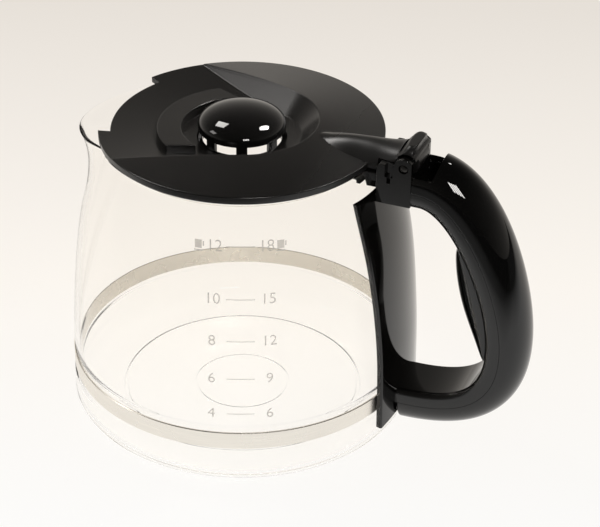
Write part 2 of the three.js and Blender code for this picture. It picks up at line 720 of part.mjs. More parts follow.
function handleCover() {
  const shell = gripLoft(coverOutline, coverShares);
  const bore = COVER_SCREW_RADIUS + SEAT_GAP;
  const lowerSide = alongGrip(GRIP_DEPTHS, LOWER_SCREW_AT);
  const lowerBoss = depthBar(
    LOWER_SCREW_AT,
    screwHeadRoom + COVER_BOSS_WALL,
    LOWER_BOSS_MEET,
    lowerSide - SHELL_WALL / 2,
  );
  const lowerBore = depthBar(LOWER_SCREW_AT, bore, 0, lowerSide);
  const counterbore = depthBar(LOWER_SCREW_AT, screwHeadRoom, lowerScrewSeat, lowerSide + JOIN);
  const gripSide = alongGrip(GRIP_DEPTHS, GRIP_SCREW_AT) - SHELL_WALL;
  const gripBoss = depthBar(GRIP_SCREW_AT, bossRadius, SHELL_WALL + SEAT_GAP, gripSide + JOIN);
  const gripBore = depthBar(GRIP_SCREW_AT, bore, 0, COVER_SCREW_LENGTH);
  const strap = ring(0, BODY_RADIUS + SADDLE_GAP + SADDLE_WALL + 2 * SEAT_GAP, -FAR, GRIP_FOOT);
  return shell
    .add(lowerBoss)
    .add(gripBoss)
    .subtract(lowerBore)
    .subtract(counterbore)
    .subtract(gripBore)
    .subtract(leverPocket())
    .subtract(strap);
}

function gripInsert() {
  return gripLoft(insertOutline, evenSteps(...INSERT_SPAN, INSERT_STEPS));
}

// Lid

const coneSlope = CONE_RISE / (lidRadius - WELL_TOP_RADIUS);
const wellEdge = lidEdge + CONE_RISE;
const wellDraft = (WELL_TOP_RADIUS - WELL_FLOOR_RADIUS) / (wellEdge - wellFloor);

// Plan outline of the recess at a height: round behind the dome, two straight walls that open to the lip.
function recessOutline(height) {
  const radius = WELL_FLOOR_RADIUS + wellDraft * (height - wellFloor);
  const wall = rad(RECESS_WALL_ANGLE);
  const arc = evenSteps(-wall, wall, ARC).map(
    (angle) => new THREE.Vector2(radius * Math.cos(angle), radius * Math.sin(angle)),
  );
  const run = (side) =>
    new THREE.Vector2(
      radius * Math.cos(wall) - FAR * Math.sin(wall),
      side * (radius * Math.sin(wall) + FAR * Math.cos(wall)),
    );
  return [...arc, run(1), run(-1)];
}

// The recess: sloping walls over a floor that falls from the rim to the drain.
function lidRecess() {
  const heights = [wellFloor - LID_WALL, wellEdge + CONE_RISE];
  const walls = loft(
    heights.map((height) => ({
      outline: recessOutline(height),
      place: (x, y) => new THREE.Vector3(x, y, height),
    })),
  );
  const rim = lidEdge - RECESS_RIM_DROP;
  const fall = (rim - wellFloor) / (lidRadius - WELL_FLAT_RADIUS);
  const above = revolve([
    [0, wellFloor],
    [WELL_FLAT_RADIUS, wellFloor],
    [FAR, rim + fall * (FAR - lidRadius)],
    [FAR, FAR],
    [0, FAR],
  ]);
  return walls.intersect(above);
}

function lidCollar() {
  const end = (radius) => rad(COLLAR_END_ANGLE) + Math.acos(COLLAR_END_DISTANCE / radius);
  const outerEnd = end(COLLAR_OUTER);
  const innerEnd = end(COLLAR_INNER);
  const shape = new THREE.Shape();
  shape.absarc(0, 0, COLLAR_OUTER, outerEnd, 2 * Math.PI - outerEnd, false);
  shape.absarc(0, 0, COLLAR_INNER, 2 * Math.PI - innerEnd, innerEnd, true);
  return upright(shape, wellFloor, lidEdge, ARC);
}

// The arm between lid and hinge: a round bar with a rounded nose, flat underneath.
function lidArm() {
  const end = hingeX - KNUCKLE_RADIUS + JOIN;
  const nose = evenSteps(0, Math.PI / 2, CURL_STEPS).map((angle) => [
    ARM_RADIUS * Math.sin(angle),
    -ARM_NOSE * Math.cos(angle),
  ]);
  const points = [...nose, [ARM_RADIUS, end - ARM_START - ARM_NOSE], [0, end - ARM_START - ARM_NOSE]];
  const profile = points.map(([radius, along]) => new THREE.Vector2(radius, along));
  const geometry = new THREE.LatheGeometry(profile, HINGE_ROUND).rotateZ(-Math.PI / 2);
  const round = solid(geometry.translate(ARM_START + ARM_NOSE, 0, armHeight));
  return round.intersect(box([0, -FAR, armUnderside], [FAR, FAR, FAR]));
}

// Everything under the lid's upper surface, out to a radius.
function underLidTop(radius) {
  const cone = revolve([
    [0, 0],
    [radius, 0],
    [radius, lidEdge - coneSlope * (radius - lidRadius)],
    [0, lidEdge + coneSlope * lidRadius],
  ]);
  return cone.subtract(lidRecess());
}

function lidCover() {
  const below = underLidTop(lidRadius);
  const plate = below.subtract(underLidTop(lidRadius + JOIN).translate([0, 0, -LID_WALL]));
  const skirt = ring(skirtRadius - SKIRT_WALL, skirtRadius, skirtBottom, FAR);
  const pour = upright(sector(JOIN, FAR, 180, POUR_GAP_HALF_ANGLE), 0, JUG_HEIGHT + SEAT_GAP);
  const seatOuter = neckRadius - RIM_SEAT_INSET;
  const rimSeat = ring(seatOuter - RIM_SEAT_WIDTH, seatOuter, JUG_HEIGHT + SEAT_GAP, FAR);
  const hookRoom = box([0, -HOOK_HALF_WIDTH - RUN_GAP, 0], [FAR, HOOK_HALF_WIDTH + RUN_GAP, armUnderside]);
  const lipRoom = upright(sector(JOIN, FAR, 180, LIP_HALF_ANGLE), 0, lidEdge - LID_WALL);
  const notch = upright(sector(lidRadius - RIM_NOTCH_DEPTH, FAR, 180, RIM_NOTCH_HALF_ANGLE), 0, FAR);
  const drain = ring(0, DOME_RADIUS + SEAT_GAP, 0, FAR);
  const knuckle = crossBar(hingeX, hingeZ, KNUCKLE_RADIUS, KNUCKLE_HALF_WIDTH, HINGE_ROUND);
  const bore = crossBar(hingeX, hingeZ, PIN_RADIUS + SEAT_GAP, FAR);
  return plate
    .add(skirt.subtract(pour).intersect(below))
    .add(rimSeat.subtract(hookRoom).subtract(lipRoom).intersect(below))
    .subtract(notch)
    .subtract(drain)
    .add(lidCollar())
    .add(lidArm())
    .add(knuckle)
    .subtract(bore);
}

// Drip dome: a cap on posts that stand in the drain, held by a flange under the lid

function dripDome() {
  const flangeTop = wellFloor - LID_WALL - SEAT_GAP;
  const flangeBottom = flangeTop - DOME_FLANGE_THICKNESS;
  const cap = (inset) =>
    arcPoints(0, 0, 1, 90, 0, CURL_STEPS).map(([x, y]) => [
      x * (DOME_RADIUS - inset),
      domeRim + y * (DOME_RISE - inset),
    ]);
  const inner = DOME_RADIUS - DOME_WALL;
  const profile = [
    ...cap(0),
    [DOME_RADIUS, flangeTop],
    [DOME_RADIUS + DOME_FLANGE, flangeTop],
    [DOME_RADIUS + DOME_FLANGE, flangeBottom],
    [inner, flangeBottom],
    ...cap(DOME_WALL).reverse(),
  ];
  const shell = revolve(profile, DOME_ROUND);
  const pitch = 360 / DOME_WINDOWS;
  return Array.from({ length: DOME_WINDOWS }, (_, i) => i * pitch).reduce((made, azimuth) => {
    const window = sector(DOME_RADIUS / 2, 2 * DOME_RADIUS, azimuth, WINDOW_ANGLE / 2);
    return made.subtract(upright(window, wellFloor - WINDOW_DEPTH, windowTop));
  }, shell);
}

// Thumb lever: a ridge on the knuckle with a hollowed back

function thumbLever() {
  const seat = KNUCKLE_RADIUS + SEAT_GAP;
  const at = (radius, angle) => [
    hingeX + radius * Math.cos(rad(angle)),
    hingeZ + radius * Math.sin(rad(angle)),
  ];
  const crest = LEVER_REACH - LEVER_CREST_FALL;
  const swell = lerp(LEVER_FOOT.front, LEVER_CREST.front, 0.4);
  const hollow = lerp(LEVER_CREST.back, LEVER_FOOT.back, 0.25);
  const shape = new THREE.Shape();
  shape.moveTo(...at(seat, LEVER_FOOT.back));
  shape.absarc(hingeX, hingeZ, seat, rad(LEVER_FOOT.back), rad(LEVER_FOOT.front), false);
  shape.lineTo(...at(seat + LEVER_FRONT_STEP, LEVER_FOOT.front));
  shape.quadraticCurveTo(...at(crest, swell), ...at(crest, LEVER_CREST.front));
  shape.lineTo(...at(LEVER_REACH, LEVER_CREST.back));
  shape.quadraticCurveTo(...at(seat + JOIN, hollow), ...at(seat, LEVER_FOOT.back));
  const ridge = sideways(shape, -LEVER_HALF_WIDTH, LEVER_HALF_WIDTH);
  const top = hingeZ + LEVER_REACH;
  const front = new THREE.Shape();
  front.moveTo(-LEVER_HALF_WIDTH, hingeZ);
  front.lineTo(LEVER_HALF_WIDTH, hingeZ);
  front.absarc(LEVER_HALF_WIDTH - LEVER_CORNER, top - LEVER_CORNER, LEVER_CORNER, 0, rad(90), false);
  front.absarc(LEVER_CORNER - LEVER_HALF_WIDTH, top - LEVER_CORNER, LEVER_CORNER, rad(90), rad(180), false);
  const depth = 2 * FAR;
  const geometry = new THREE.ExtrudeGeometry(front, { depth, bevelEnabled: false, curveSegments: 6 });
  geometry.rotateX(Math.PI / 2).rotateZ(Math.PI / 2).translate(-FAR, 0, 0);
  return ridge.intersect(solid(geometry));
}

function hingePin() {
  return crossBar(hingeX, hingeZ, PIN_RADIUS, GRIP_HALF_WIDTHS.top - SEAT_GAP);
}

// Finishes

const glass = { color: 0xe4e9e6, roughness: 0.03, metalness: 0, transparent: true, opacity: 0.35 };
const steel = { color: 0xb9b4ac, roughness: 0.3, metalness: 1 };
const glossBlack = { color: 0x0b0b0c, roughness: 0.12, metalness: 0 };
const satinBlack = { color: 0x161514, roughness: 0.38, metalness: 0 };

function piece(name, made, finish) {
  const mesh = new THREE.Mesh(geometryOf(made), new THREE.MeshStandardMaterial(finish));
  mesh.name = name;
  return mesh;
}

const jugGroup = new THREE.Group();
jugGroup.add(
  piece('glass_jug', glassJug(), glass),
  piece('clamp_band', clampBand(), steel),
  piece('band_screw', bandScrew(), steel),
  piece('band_nut', bandNut(), steel),
);

const handleGroup = new THREE.Group();
handleGroup.add(
  piece('handle_frame', handleFrame(), satinBlack),
  piece('handle_cover', handleCover(), glossBlack),
  piece('grip_insert', gripInsert(), satinBlack),
  piece('cover_screw_lower', coverScrewLower(), steel),
  piece('cover_screw_grip', coverScrewGrip(), steel),
  piece('hinge_pin', hingePin(), steel),
);

const lidGroup = new THREE.Group();
lidGroup.add(
  piece('lid_cover', lidCover(), satinBlack),
  piece('drip_dome', dripDome(), glossBlack),
  piece('thumb_lever', thumbLever(), satinBlack),
);

const carafe = new THREE.Group();
carafe.add(jugGroup, handleGroup, lidGroup);

export default carafe;
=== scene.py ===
"""Looks of a glass coffee carafe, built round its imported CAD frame.

Sizes in the classes are millimetres in the frame of the CAD model: the jug stands on z = 0
round the Z axis, the handle points along +X and the lip along -X. Blender's own units are
metres.
"""

import logging
import math
from dataclasses import dataclass, field
from enum import Enum
from typing import Callable, Sequence

import bpy
from mathutils import Matrix, Vector


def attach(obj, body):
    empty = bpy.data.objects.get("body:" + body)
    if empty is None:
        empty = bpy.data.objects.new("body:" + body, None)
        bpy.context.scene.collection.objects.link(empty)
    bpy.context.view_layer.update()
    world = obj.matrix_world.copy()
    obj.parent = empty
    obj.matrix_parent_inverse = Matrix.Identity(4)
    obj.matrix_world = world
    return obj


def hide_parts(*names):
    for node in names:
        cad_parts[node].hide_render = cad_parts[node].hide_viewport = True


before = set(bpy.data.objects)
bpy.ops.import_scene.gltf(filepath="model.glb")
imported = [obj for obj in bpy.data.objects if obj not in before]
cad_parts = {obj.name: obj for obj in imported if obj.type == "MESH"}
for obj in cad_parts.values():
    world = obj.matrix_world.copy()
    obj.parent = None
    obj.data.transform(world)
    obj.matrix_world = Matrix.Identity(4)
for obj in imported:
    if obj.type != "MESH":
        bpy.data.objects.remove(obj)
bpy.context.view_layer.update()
LOG = logging.getLogger("carafe")

Piece = bpy.types.Object
Socket = bpy.types.NodeSocket
Point = tuple[float, float]
Triple = tuple[float, float, float]
Colour = tuple[float, float, float, float]

MM = 0.001
FAR = 200.0  # beyond every piece
PAST = 5.0  # how far a cutting tool reaches past a surface
LAP = 1.0  # how far tools lie in each other before they are joined
FINE_WELD = 0.0005
CUT_WELD = 0.004
BEVEL_WELD = 0.02
HINGE: Point = (75.5, 132.6)
LIP_SIDE = 180.0  # azimuth of the lip in degrees


class Body(Enum):
    """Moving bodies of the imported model."""

    JUG = "jug"
    LID = "lid"


class Slot(Enum):
    """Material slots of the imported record."""

    GLASS = "glass"
    STEEL = "steel"
    GLOSS = "gloss_black"
    SATIN = "satin_black"


def mm(x: float, y: float, z: float) -> Vector:
    """A point given in millimetres, as a vector in metres."""
    return Vector((x, y, z)) * MM


def lerp(a: float, b: float, share: float) -> float:
    """The value at a share of the way from a to b."""
    return a + (b - a) * share


def smoothstep(value: float, low: float, high: float) -> float:
    """A share from 0 at low to 1 at high that starts and ends softly."""
    share = min(max((value - low) / (high - low), 0.0), 1.0)
    return share * share * (3 - 2 * share)


def steps(low: float, high: float, count: int) -> list[float]:
    """Evenly spaced values from low to high, both included."""
    return [lerp(low, high, i / count) for i in range(count + 1)]


def polar(centre: Point, radius: float, angle: float) -> Point:
    """The point at a radius and an angle in degrees round a centre."""
    turn = math.radians(angle)
    return (centre[0] + radius * math.cos(turn), centre[1] + radius * math.sin(turn))


def arc(centre: Point, radius: float, start: float, end: float, count: int) -> list[Point]:
    """Points of a circular arc.

    Args:
        centre: Middle of the circle.
        radius: Its radius.
        start: First angle in degrees.
        end: Last angle in degrees.
        count: Number of chords.

    Returns:
        The arc's points, both ends included.
    """
    return [polar(centre, radius, angle) for angle in steps(start, end, count)]


class Bench:
    """Modelling by hand: every tool drives Blender's own operators on one object."""

    @staticmethod
    def clear() -> None:
        """Leaves edit mode and deselects everything."""
        active = bpy.context.view_layer.objects.active
        if active and active.mode != "OBJECT":
            bpy.ops.object.mode_set(mode="OBJECT")
        bpy.ops.object.select_all(action="DESELECT")

    @staticmethod
    def take(piece: Piece) -> Piece:
        """Selects one object alone and makes it active.

        Args:
            piece: The object to work on.

        Returns:
            The same object.
        """
        Bench.clear()
        piece.select_set(True)
        bpy.context.view_layer.objects.active = piece
        return piece

    @staticmethod
    def edit(piece: Piece) -> None:
        """Opens an object in edit mode with all of its mesh selected.

        Args:
            piece: The object to work on.
        """
        Bench.take(piece)
        bpy.ops.object.mode_set(mode="EDIT")
        bpy.ops.mesh.select_all(action="SELECT")

    @staticmethod
    def close(piece: Piece, weld: float = 0.001) -> Piece:
        """Welds close points and turns the faces outward.

        Args:
            piece: The object to work on.
            weld: Length in millimetres under which points merge.

        Returns:
            The same object.
        """
        Bench.edit(piece)
        bpy.ops.mesh.remove_doubles(threshold=weld * MM)
        bpy.ops.mesh.normals_make_consistent(inside=False)
        bpy.ops.object.mode_set(mode="OBJECT")
        return piece

    @staticmethod
    def string(name: str, places: Sequence[Vector]) -> Piece:
        """Draws a line through points in metres, one extruded vertex after the other.

        Args:
            name: Name of the new object.
            places: The points.

        Returns:
            The object, left in edit mode with the whole line selected.
        """
        Bench.clear()
        bpy.ops.mesh.primitive_plane_add(size=MM, location=(0, 0, 0))
        piece = bpy.context.object
        piece.name = name
        bpy.ops.object.mode_set(mode="EDIT")
        bpy.ops.mesh.merge(type="CENTER")
        bpy.ops.transform.translate(value=places[0])
        for here, there in zip(places, places[1:]):
            bpy.ops.mesh.extrude_region_move(TRANSFORM_OT_translate={"value": there - here})
        bpy.ops.mesh.select_all(action="SELECT")
        return piece

    @staticmethod
    def turn(name: str, points: Sequence[Point], segments: int) -> Piece:
        """Turns a profile round the Z axis into a closed form.

        Args:
            name: Name of the new object.
            points: Radius and height of each profile point, in millimetres.
            segments: Steps of the full turn.

        Returns:
            The welded object.
        """
        piece = Bench.string(name, [mm(radius, 0, height) for radius, height in points])
        bpy.ops.mesh.remove_doubles(threshold=FINE_WELD * MM)
        bpy.ops.mesh.select_all(action="SELECT")
        bpy.ops.mesh.spin(steps=segments, angle=math.tau, center=(0, 0, 0), axis=(0, 0, 1))
        bpy.ops.object.mode_set(mode="OBJECT")
        return Bench.close(piece)

    @staticmethod
    def ring(inner: float, outer: float, bottom: float, top: float, segments: int) -> Piece:
        """A ring of rectangular section round the Z axis, as a tool."""
        corners = [(inner, bottom), (outer, bottom), (outer, top), (inner, top), (inner, bottom)]
        return Bench.turn("ring", corners, segments)

    @staticmethod
    def prism(name: str, outline: Sequence[Vector], rise: Vector) -> Piece:
        """Fills an outline and extrudes it.

        Args:
            name: Name of the new object.
            outline: Corners of the flat outline, in metres.
            rise: Way of the extrusion, in metres.

        Returns:
            The closed solid.
        """
        piece = Bench.string(name, [*outline, outline[0]])
        bpy.ops.mesh.remove_doubles(threshold=FINE_WELD * MM)
        bpy.ops.mesh.select_all(action="SELECT")
        bpy.ops.mesh.edge_face_add()
        bpy.ops.mesh.extrude_region_move(TRANSFORM_OT_translate={"value": rise})
        bpy.ops.object.mode_set(mode="OBJECT")
        return Bench.close(piece)

    @staticmethod
    def slab(name: str, outline: Sequence[Point], half_width: float) -> Piece:
        """A side outline in X and Z, spread to both sides of the middle plane."""
        places = [mm(x, -half_width, z) for x, z in outline]
        return Bench.prism(name, places, mm(0, 2 * half_width, 0))

    @staticmethod
    def column(name: str, outline: Sequence[Point], bottom: float, top: float) -> Piece:
        """A plan outline in X and Y, raised from one height to another."""
        places = [mm(x, y, bottom) for x, y in outline]
        return Bench.prism(name, places, mm(0, 0, top - bottom))

    @staticmethod
    def wedge(
        inner: float, outer: float, azimuth: float, half_angle: float, bottom: float, top: float
    ) -> Piece:
        """A sector between two radii, as a tool.

        Args:
            inner: Inner radius.
            outer: Outer radius.
            azimuth: Middle of the sector in degrees.
            half_angle: Half its opening in degrees.
            bottom: Its lower height.
            top: Its upper height.

        Returns:
            The closed sector.
        """
        count = max(round(half_angle), 2)
        edges = (azimuth - half_angle, azimuth + half_angle)
        outline = [*arc((0, 0), outer, *edges, count), *arc((0, 0), inner, *reversed(edges), count)]
        return Bench.column("wedge", outline, bottom, top)

    @staticmethod
    def lay(name: str, along: int, across: int, place: Callable[[float, float], Vector]) -> Piece:
        """Lays a grid over a curved surface.

        Args:
            name: Name of the new object.
            along: Number of faces in the first direction.
            across: Number of faces in the second direction.
            place: Gives the point in metres for two shares from 0 to 1.

        Returns:
            The open sheet.
        """
        Bench.clear()
        bpy.ops.mesh.primitive_grid_add(x_subdivisions=along, y_subdivisions=across, size=1)
        piece = bpy.context.object
        piece.name = name
        for vertex in piece.data.vertices:
            vertex.co = place(vertex.co.x + 0.5, vertex.co.y + 0.5)
        return piece

    @staticmethod
    def loft(name: str, stations: Sequence[Sequence[Vector]]) -> Piece:
        """Joins closed outlines of equal point counts and fills both ends.

        Args:
            name: Name of the new object.
            stations: The outlines in order, in metres.

        Returns:
            The closed solid.
        """
        rows, count = len(stations) - 1, len(stations[0])

        def place(along: float, around: float) -> Vector:
            """The outline point that a corner of the grid goes to."""
            return stations[round(along * rows)][round(around * count) % count]

        piece = Bench.lay(name, rows, count, place)
        Bench.edit(piece)
        bpy.ops.mesh.remove_doubles(threshold=FINE_WELD * MM)
        bpy.ops.mesh.select_all(action="SELECT")
        bpy.ops.mesh.fill_holes(sides=0)
        bpy.ops.object.mode_set(mode="OBJECT")
        return Bench.close(piece)

    @staticmethod
    def block(low: Sequence[float], high: Sequence[float]) -> Piece:
        """A box between two corners in millimetres, as a tool for cutting or joining.

        Args:
            low: The corner with the lowest values.
            high: The opposite corner.

        Returns:
            The box.
        """
        Bench.clear()
        a, b = mm(*low), mm(*high)
        bpy.ops.mesh.primitive_cube_add(size=1, location=(a + b) / 2)
        bpy.context.object.scale = b - a
        bpy.ops.object.transform_apply(location=True, rotation=True, scale=True)
        return bpy.context.object

    @staticmethod
    def rod(start: Vector, end: Vector, radius: float, segments: int = 48) -> Piece:
        """A round bar, as a tool.

        Args:
            start: One end, in metres.
            end: The other end, in metres.
            radius: Radius in millimetres.
            segments: Number of its sides.

        Returns:
            The bar.
        """
        Bench.clear()
        axis = end - start
        bpy.ops.mesh.primitive_cylinder_add(
            vertices=segments,
            radius=radius * MM,
            depth=axis.length,
            location=(start + end) / 2,
            rotation=axis.to_track_quat("Z", "Y").to_euler(),
        )
        bpy.ops.object.transform_apply(location=True, rotation=True, scale=True)
        return bpy.context.object

    @staticmethod
    def cross_rod(middle: Point, radius: float, half_width: float, segments: int = 48) -> Piece:
        """A round bar along Y through a point of the middle plane, as a tool."""
        x, z = middle
        return Bench.rod(mm(x, -half_width, z), mm(x, half_width, z), radius, segments)

    @staticmethod
    def apply(piece: Piece, kind: str, **settings: object) -> Piece:
        """Adds a modifier and applies it.

        Args:
            piece: The object to work on.
            kind: Blender's name of the modifier type.
            settings: Its settings by name.

        Returns:
            The same object.
        """
        Bench.take(piece)
        modifier = piece.modifiers.new(kind.title(), kind)
        for key, value in settings.items():
            setattr(modifier, key, value)
        bpy.ops.object.modifier_apply(modifier=modifier.name)
        return piece

    @staticmethod
    def join(piece: Piece, *others: Piece) -> Piece:
        """Fuses tools into a piece, one after the other, and returns it."""
        return Bench.boolean(piece, "UNION", others)

    @staticmethod
    def cut(piece: Piece, *others: Piece) -> Piece:
        """Cuts tools out of a piece, one after the other, and returns it."""
        return Bench.boolean(piece, "DIFFERENCE", others)

    @staticmethod
    def keep(piece: Piece, *others: Piece) -> Piece:
        """Keeps what a piece has in common with tools, one after the other, and returns it."""
        return Bench.boolean(piece, "INTERSECT", others)

    @staticmethod
    def boolean(piece: Piece, operation: str, others: Sequence[Piece]) -> Piece:
        """Combines a piece with tools, which are used up.

        Args:
            piece: The object that stays.
            operation: Name of the Boolean modifier's operation.
            others: The tools.

        Returns:
            The piece.
        """
        for other in others:
            Bench.apply(piece, "BOOLEAN", operation=operation, object=other, solver="EXACT")
            bpy.data.objects.remove(other)
            Bench.close(piece, CUT_WELD)
        return piece

    @staticmethod
    def soften(piece: Piece, width: float, angle: float = 35, rounds: int = 2) -> Piece:
        """Rounds the sharp edges of a piece.

        Args:
            piece: The object to work on.
            width: Width of the rounding in millimetres.
            angle: Angle in degrees from which an edge is sharp.
            rounds: Number of faces across the rounding.

        Returns:
            The same object.
        """
        Bench.close(piece, BEVEL_WELD)
        return Bench.apply(
            piece,
            "BEVEL",
            width=width * MM,
            segments=rounds,
            limit_method="ANGLE",
            angle_limit=math.radians(angle),
            use_clamp_overlap=False,
        )

    @staticmethod
    def smooth(piece: Piece, angle: float = 35) -> Piece:
        """Shades a piece smooth, with its flat faces kept flat.

        Args:
            piece: The object to work on.
            angle: Angle in degrees from which an edge stays sharp.

        Returns:
            The same object.
        """
        Bench.take(piece)
        bpy.ops.object.shade_smooth_by_angle(angle=math.radians(angle))
        return Bench.apply(piece, "WEIGHTED_NORMAL", weight=80, keep_sharp=True)

    @staticmethod
    def put(piece: Piece, matrix: Matrix) -> Piece:
        """Moves a piece and keeps its object at the origin.

        Args:
            piece: The object to work on.
            matrix: The move, in metres.

        Returns:
            The same object.
        """
        Bench.take(piece)
        piece.matrix_world = matrix
        bpy.ops.object.transform_apply(location=True, rotation=True, scale=True)
        return piece


class Graph:
    """A shader graph under construction."""

    def __init__(self, tree: bpy.types.NodeTree) -> None:
        """Starts from an empty node tree."""
        self.tree = tree
        tree.nodes.clear()

    def add(
        self, kind: str, inputs: dict[str, object] | None = None, **settings: object
    ) -> bpy.types.Node:
        """Adds a node.

        Args:
            kind: Blender's name of the node type, without the ShaderNode prefix.
            inputs: Values or output sockets by input name.
            settings: Properties of the node.

        Returns:
            The node.
        """
        node = self.tree.nodes.new("ShaderNode" + kind)
        for key, value in settings.items():
            setattr(node, key, value)
        for key, value in (inputs or {}).items():
            self.feed(node.inputs[key], value)
        return node

    def feed(self, socket: Socket, value: object) -> None:
        """Links an output socket to an input, or sets the input's value.

        Args:
            socket: The input.
            value: An output socket or a plain value.
        """
        if isinstance(value, Socket):
            self.tree.links.new(value, socket)
        else:
            socket.default_value = value

    def math(self, operation: str, a: object, b: object = 0.0) -> Socket:
        """The result of a Math node on two values or sockets.

        Args:
            operation: Blender's name of the operation.
            a: First value or socket.
            b: Second one.

        Returns:
            The node's output socket.
        """
        node = self.add("Math", operation=operation)
        self.feed(node.inputs[0], a)
        self.feed(node.inputs[1], b)
        return node.outputs[0]

    def noise(self, place: Socket, scale: float, detail: float = 2) -> Socket:
        """A noise pattern's value at a place."""
        node = self.add("TexNoise", {"Vector": place, "Scale": scale, "Detail": detail})
        return node.outputs["Fac"]

    def spread(self, value: Socket, low: float, high: float, span: Point = (0.0, 1.0)) -> Socket:
        """A value that runs through a span, spread between two numbers."""
        ends = {"From Min": span[0], "From Max": span[1], "To Min": low, "To Max": high}
        return self.add("MapRange", {"Value": value, **ends}).outputs["Result"]

    def mix(self, factor: object, a: object, b: object, blend: str = "MIX") -> Socket:
        """A colour mixed from two.

        Args:
            factor: Share of the second colour.
            a: First colour or socket.
            b: Second one.
            blend: Blender's name of the way to mix.

        Returns:
            The node's output socket.
        """
        node = self.add("Mix", data_type="RGBA", blend_type=blend)
        for key, value in (("Factor", factor), ("A", a), ("B", b)):
            socket = next(s for s in node.inputs if s.name == key and s.enabled)
            self.feed(socket, value)
        return next(s for s in node.outputs if s.enabled)

    def dot(self, a: Socket, b: object) -> Socket:
        """The dot product of two vectors.

        Args:
            a: First vector.
            b: Second vector or socket.

        Returns:
            The node's output socket.
        """
        node = self.add("VectorMath", operation="DOT_PRODUCT")
        self.feed(node.inputs[0], a)
        self.feed(node.inputs[1], b)
        return node.outputs["Value"]

    def bump(
        self,
        height: Socket,
        strength: float,
        depth: float,
        under: Socket | None = None,
    ) -> Socket:
        """A surface roughened by a pattern.

        Args:
            height: The pattern.
            strength: Share of the effect.
            depth: Depth of the pattern in millimetres.
            under: The normal of a pattern that lies under this one.

        Returns:
            The roughened normal.
        """
        node = self.add("Bump", {"Height": height, "Strength": strength, "Distance": depth * MM})
        if under is not None:
            self.feed(node.inputs["Normal"], under)
        return node.outputs["Normal"]

    def grey(self, value: Socket) -> Socket:
        """A value as a grey colour."""
        parts = {name: value for name in ("Red", "Green", "Blue")}
        return self.add("CombineColor", parts).outputs["Color"]

    def tones(self, factor: Socket, colour: Colour, swing: float) -> Socket:
        """A colour that a pattern makes darker and lighter by a share.

        Args:
            factor: The pattern.
            colour: The middle colour.
            swing: The share.

        Returns:
            The node's output socket.
        """
        dark = tuple((1 - swing) * c for c in colour[:3]) + (1,)
        light = tuple((1 + swing) * c for c in colour[:3]) + (1,)
        return self.mix(factor, dark, light)

    def ramp(self, value: Socket, stops: Sequence[tuple[float, Colour]]) -> Socket:
        """A colour ramp through stops at values from 0 to 1.

        Args:
            value: The value to colour.
            stops: Position and colour of each stop.

        Returns:
            The node's output socket.
        """
        node = self.add("ValToRGB", {"Fac": value})
        row = node.color_ramp.elements
        while len(row) < len(stops):
            row.new(1.0)
        for element, (position, colour) in zip(row, stops):
            element.position, element.color = position, colour
        return node.outputs["Color"]


@dataclass(frozen=True)
class Finish:
    """A surface finish with its own node graph."""

    name: str

    def material(self) -> bpy.types.Material:
        """The finish as a Blender material, made once.

        Returns:
            The material with this finish's nodes.
        """
        found = bpy.data.materials.get(self.name)
        if found:
            return found
        made = bpy.data.materials.new(self.name)
        made.use_nodes = True
        graph = Graph(made.node_tree)
        out = graph.add("OutputMaterial")
        graph.feed(out.inputs["Surface"], self.surface(graph))
        return made

    def surface(self, graph: Graph) -> Socket:
        """The shader of the finish.

        Args:
            graph: The material's graph.

        Returns:
            The shader's output socket.
        """
        raise NotImplementedError


@dataclass(frozen=True)
class ClearGlass(Finish):
    """Blown glass: clear, with the faint waves of a mould-blown wall."""

    tint: Colour = (0.993, 0.987, 0.975, 1)
    index: float = 1.14
    wave_scale: float = 38
    wave_height: float = 0.015
    wave_depth: float = 1.0

    def surface(self, graph: Graph) -> Socket:
        """The shader of the finish.

        Args:
            graph: The material's graph.

        Returns:
            The shader's output socket.
        """
        place = graph.add("TexCoord").outputs["Object"]
        waves = graph.noise(place, self.wave_scale, 1)
        bump = graph.bump(waves, self.wave_height, self.wave_depth)
        shader = graph.add(
            "BsdfPrincipled",
            {
                "Base Color": self.tint,
                "Roughness": 0.0,
                "IOR": self.index,
                "Transmission Weight": 1.0,
                "Normal": bump,
            },
        )
        return shader.outputs["BSDF"]


@dataclass(frozen=True)
class BrushedSteel(Finish):
    """Stainless strip brushed along its length, so its streaks run round the jug."""

    colour: Colour = (0.86, 0.82, 0.75, 1)
    roughness: Point = (0.2, 0.34)
    streaks: float = 2600
    squeeze: Triple = (0.02, 0.02, 1)
    # painted shade: share of brightness kept on faces that look toward the jug's axis
    inner_face_shade: float = 1.0
    cloud_scale: float = 90
    streak_height: float = 0.05
    streak_depth: float = 0.1
    tone_swing: float = 0.1
    anisotropy: float = 0.4

    def surface(self, graph: Graph) -> Socket:
        """The shader of the finish.

        Args:
            graph: The material's graph.

        Returns:
            The shader's output socket.
        """
        place = graph.add("TexCoord").outputs["Object"]
        drawn = graph.add("Mapping", {"Vector": place, "Scale": self.squeeze})
        lines = graph.noise(drawn.outputs["Vector"], self.streaks, 3)
        cloud = graph.noise(place, self.cloud_scale, 3)
        bump = graph.bump(lines, self.streak_height, self.streak_depth)
        shader = graph.add(
            "BsdfPrincipled",
            {
                "Base Color": self.tone(graph, place, lines),
                "Metallic": 1.0,
                "Roughness": graph.spread(cloud, *self.roughness),
                "Anisotropic": self.anisotropy,
                "Normal": bump,
            },
        )
        return shader.outputs["BSDF"]

    def tone(self, graph: Graph, place: Socket, lines: Socket) -> Socket:
        """The streaky colour, with painted shade that darkens faces that look toward the jug's
        axis.

        Args:
            graph: The material's graph.
            place: Object coordinates.
            lines: The streaks.

        Returns:
            The colour's socket.
        """
        outward = graph.dot(place, graph.add("NewGeometry").outputs["Normal"])
        inside = graph.math("LESS_THAN", outward, 0.0)
        # painted shade on the faces that look inward
        painted_shade = graph.grey(graph.spread(inside, 1, self.inner_face_shade))
        return graph.mix(1.0, graph.tones(lines, self.colour, self.tone_swing), painted_shade, "MULTIPLY")


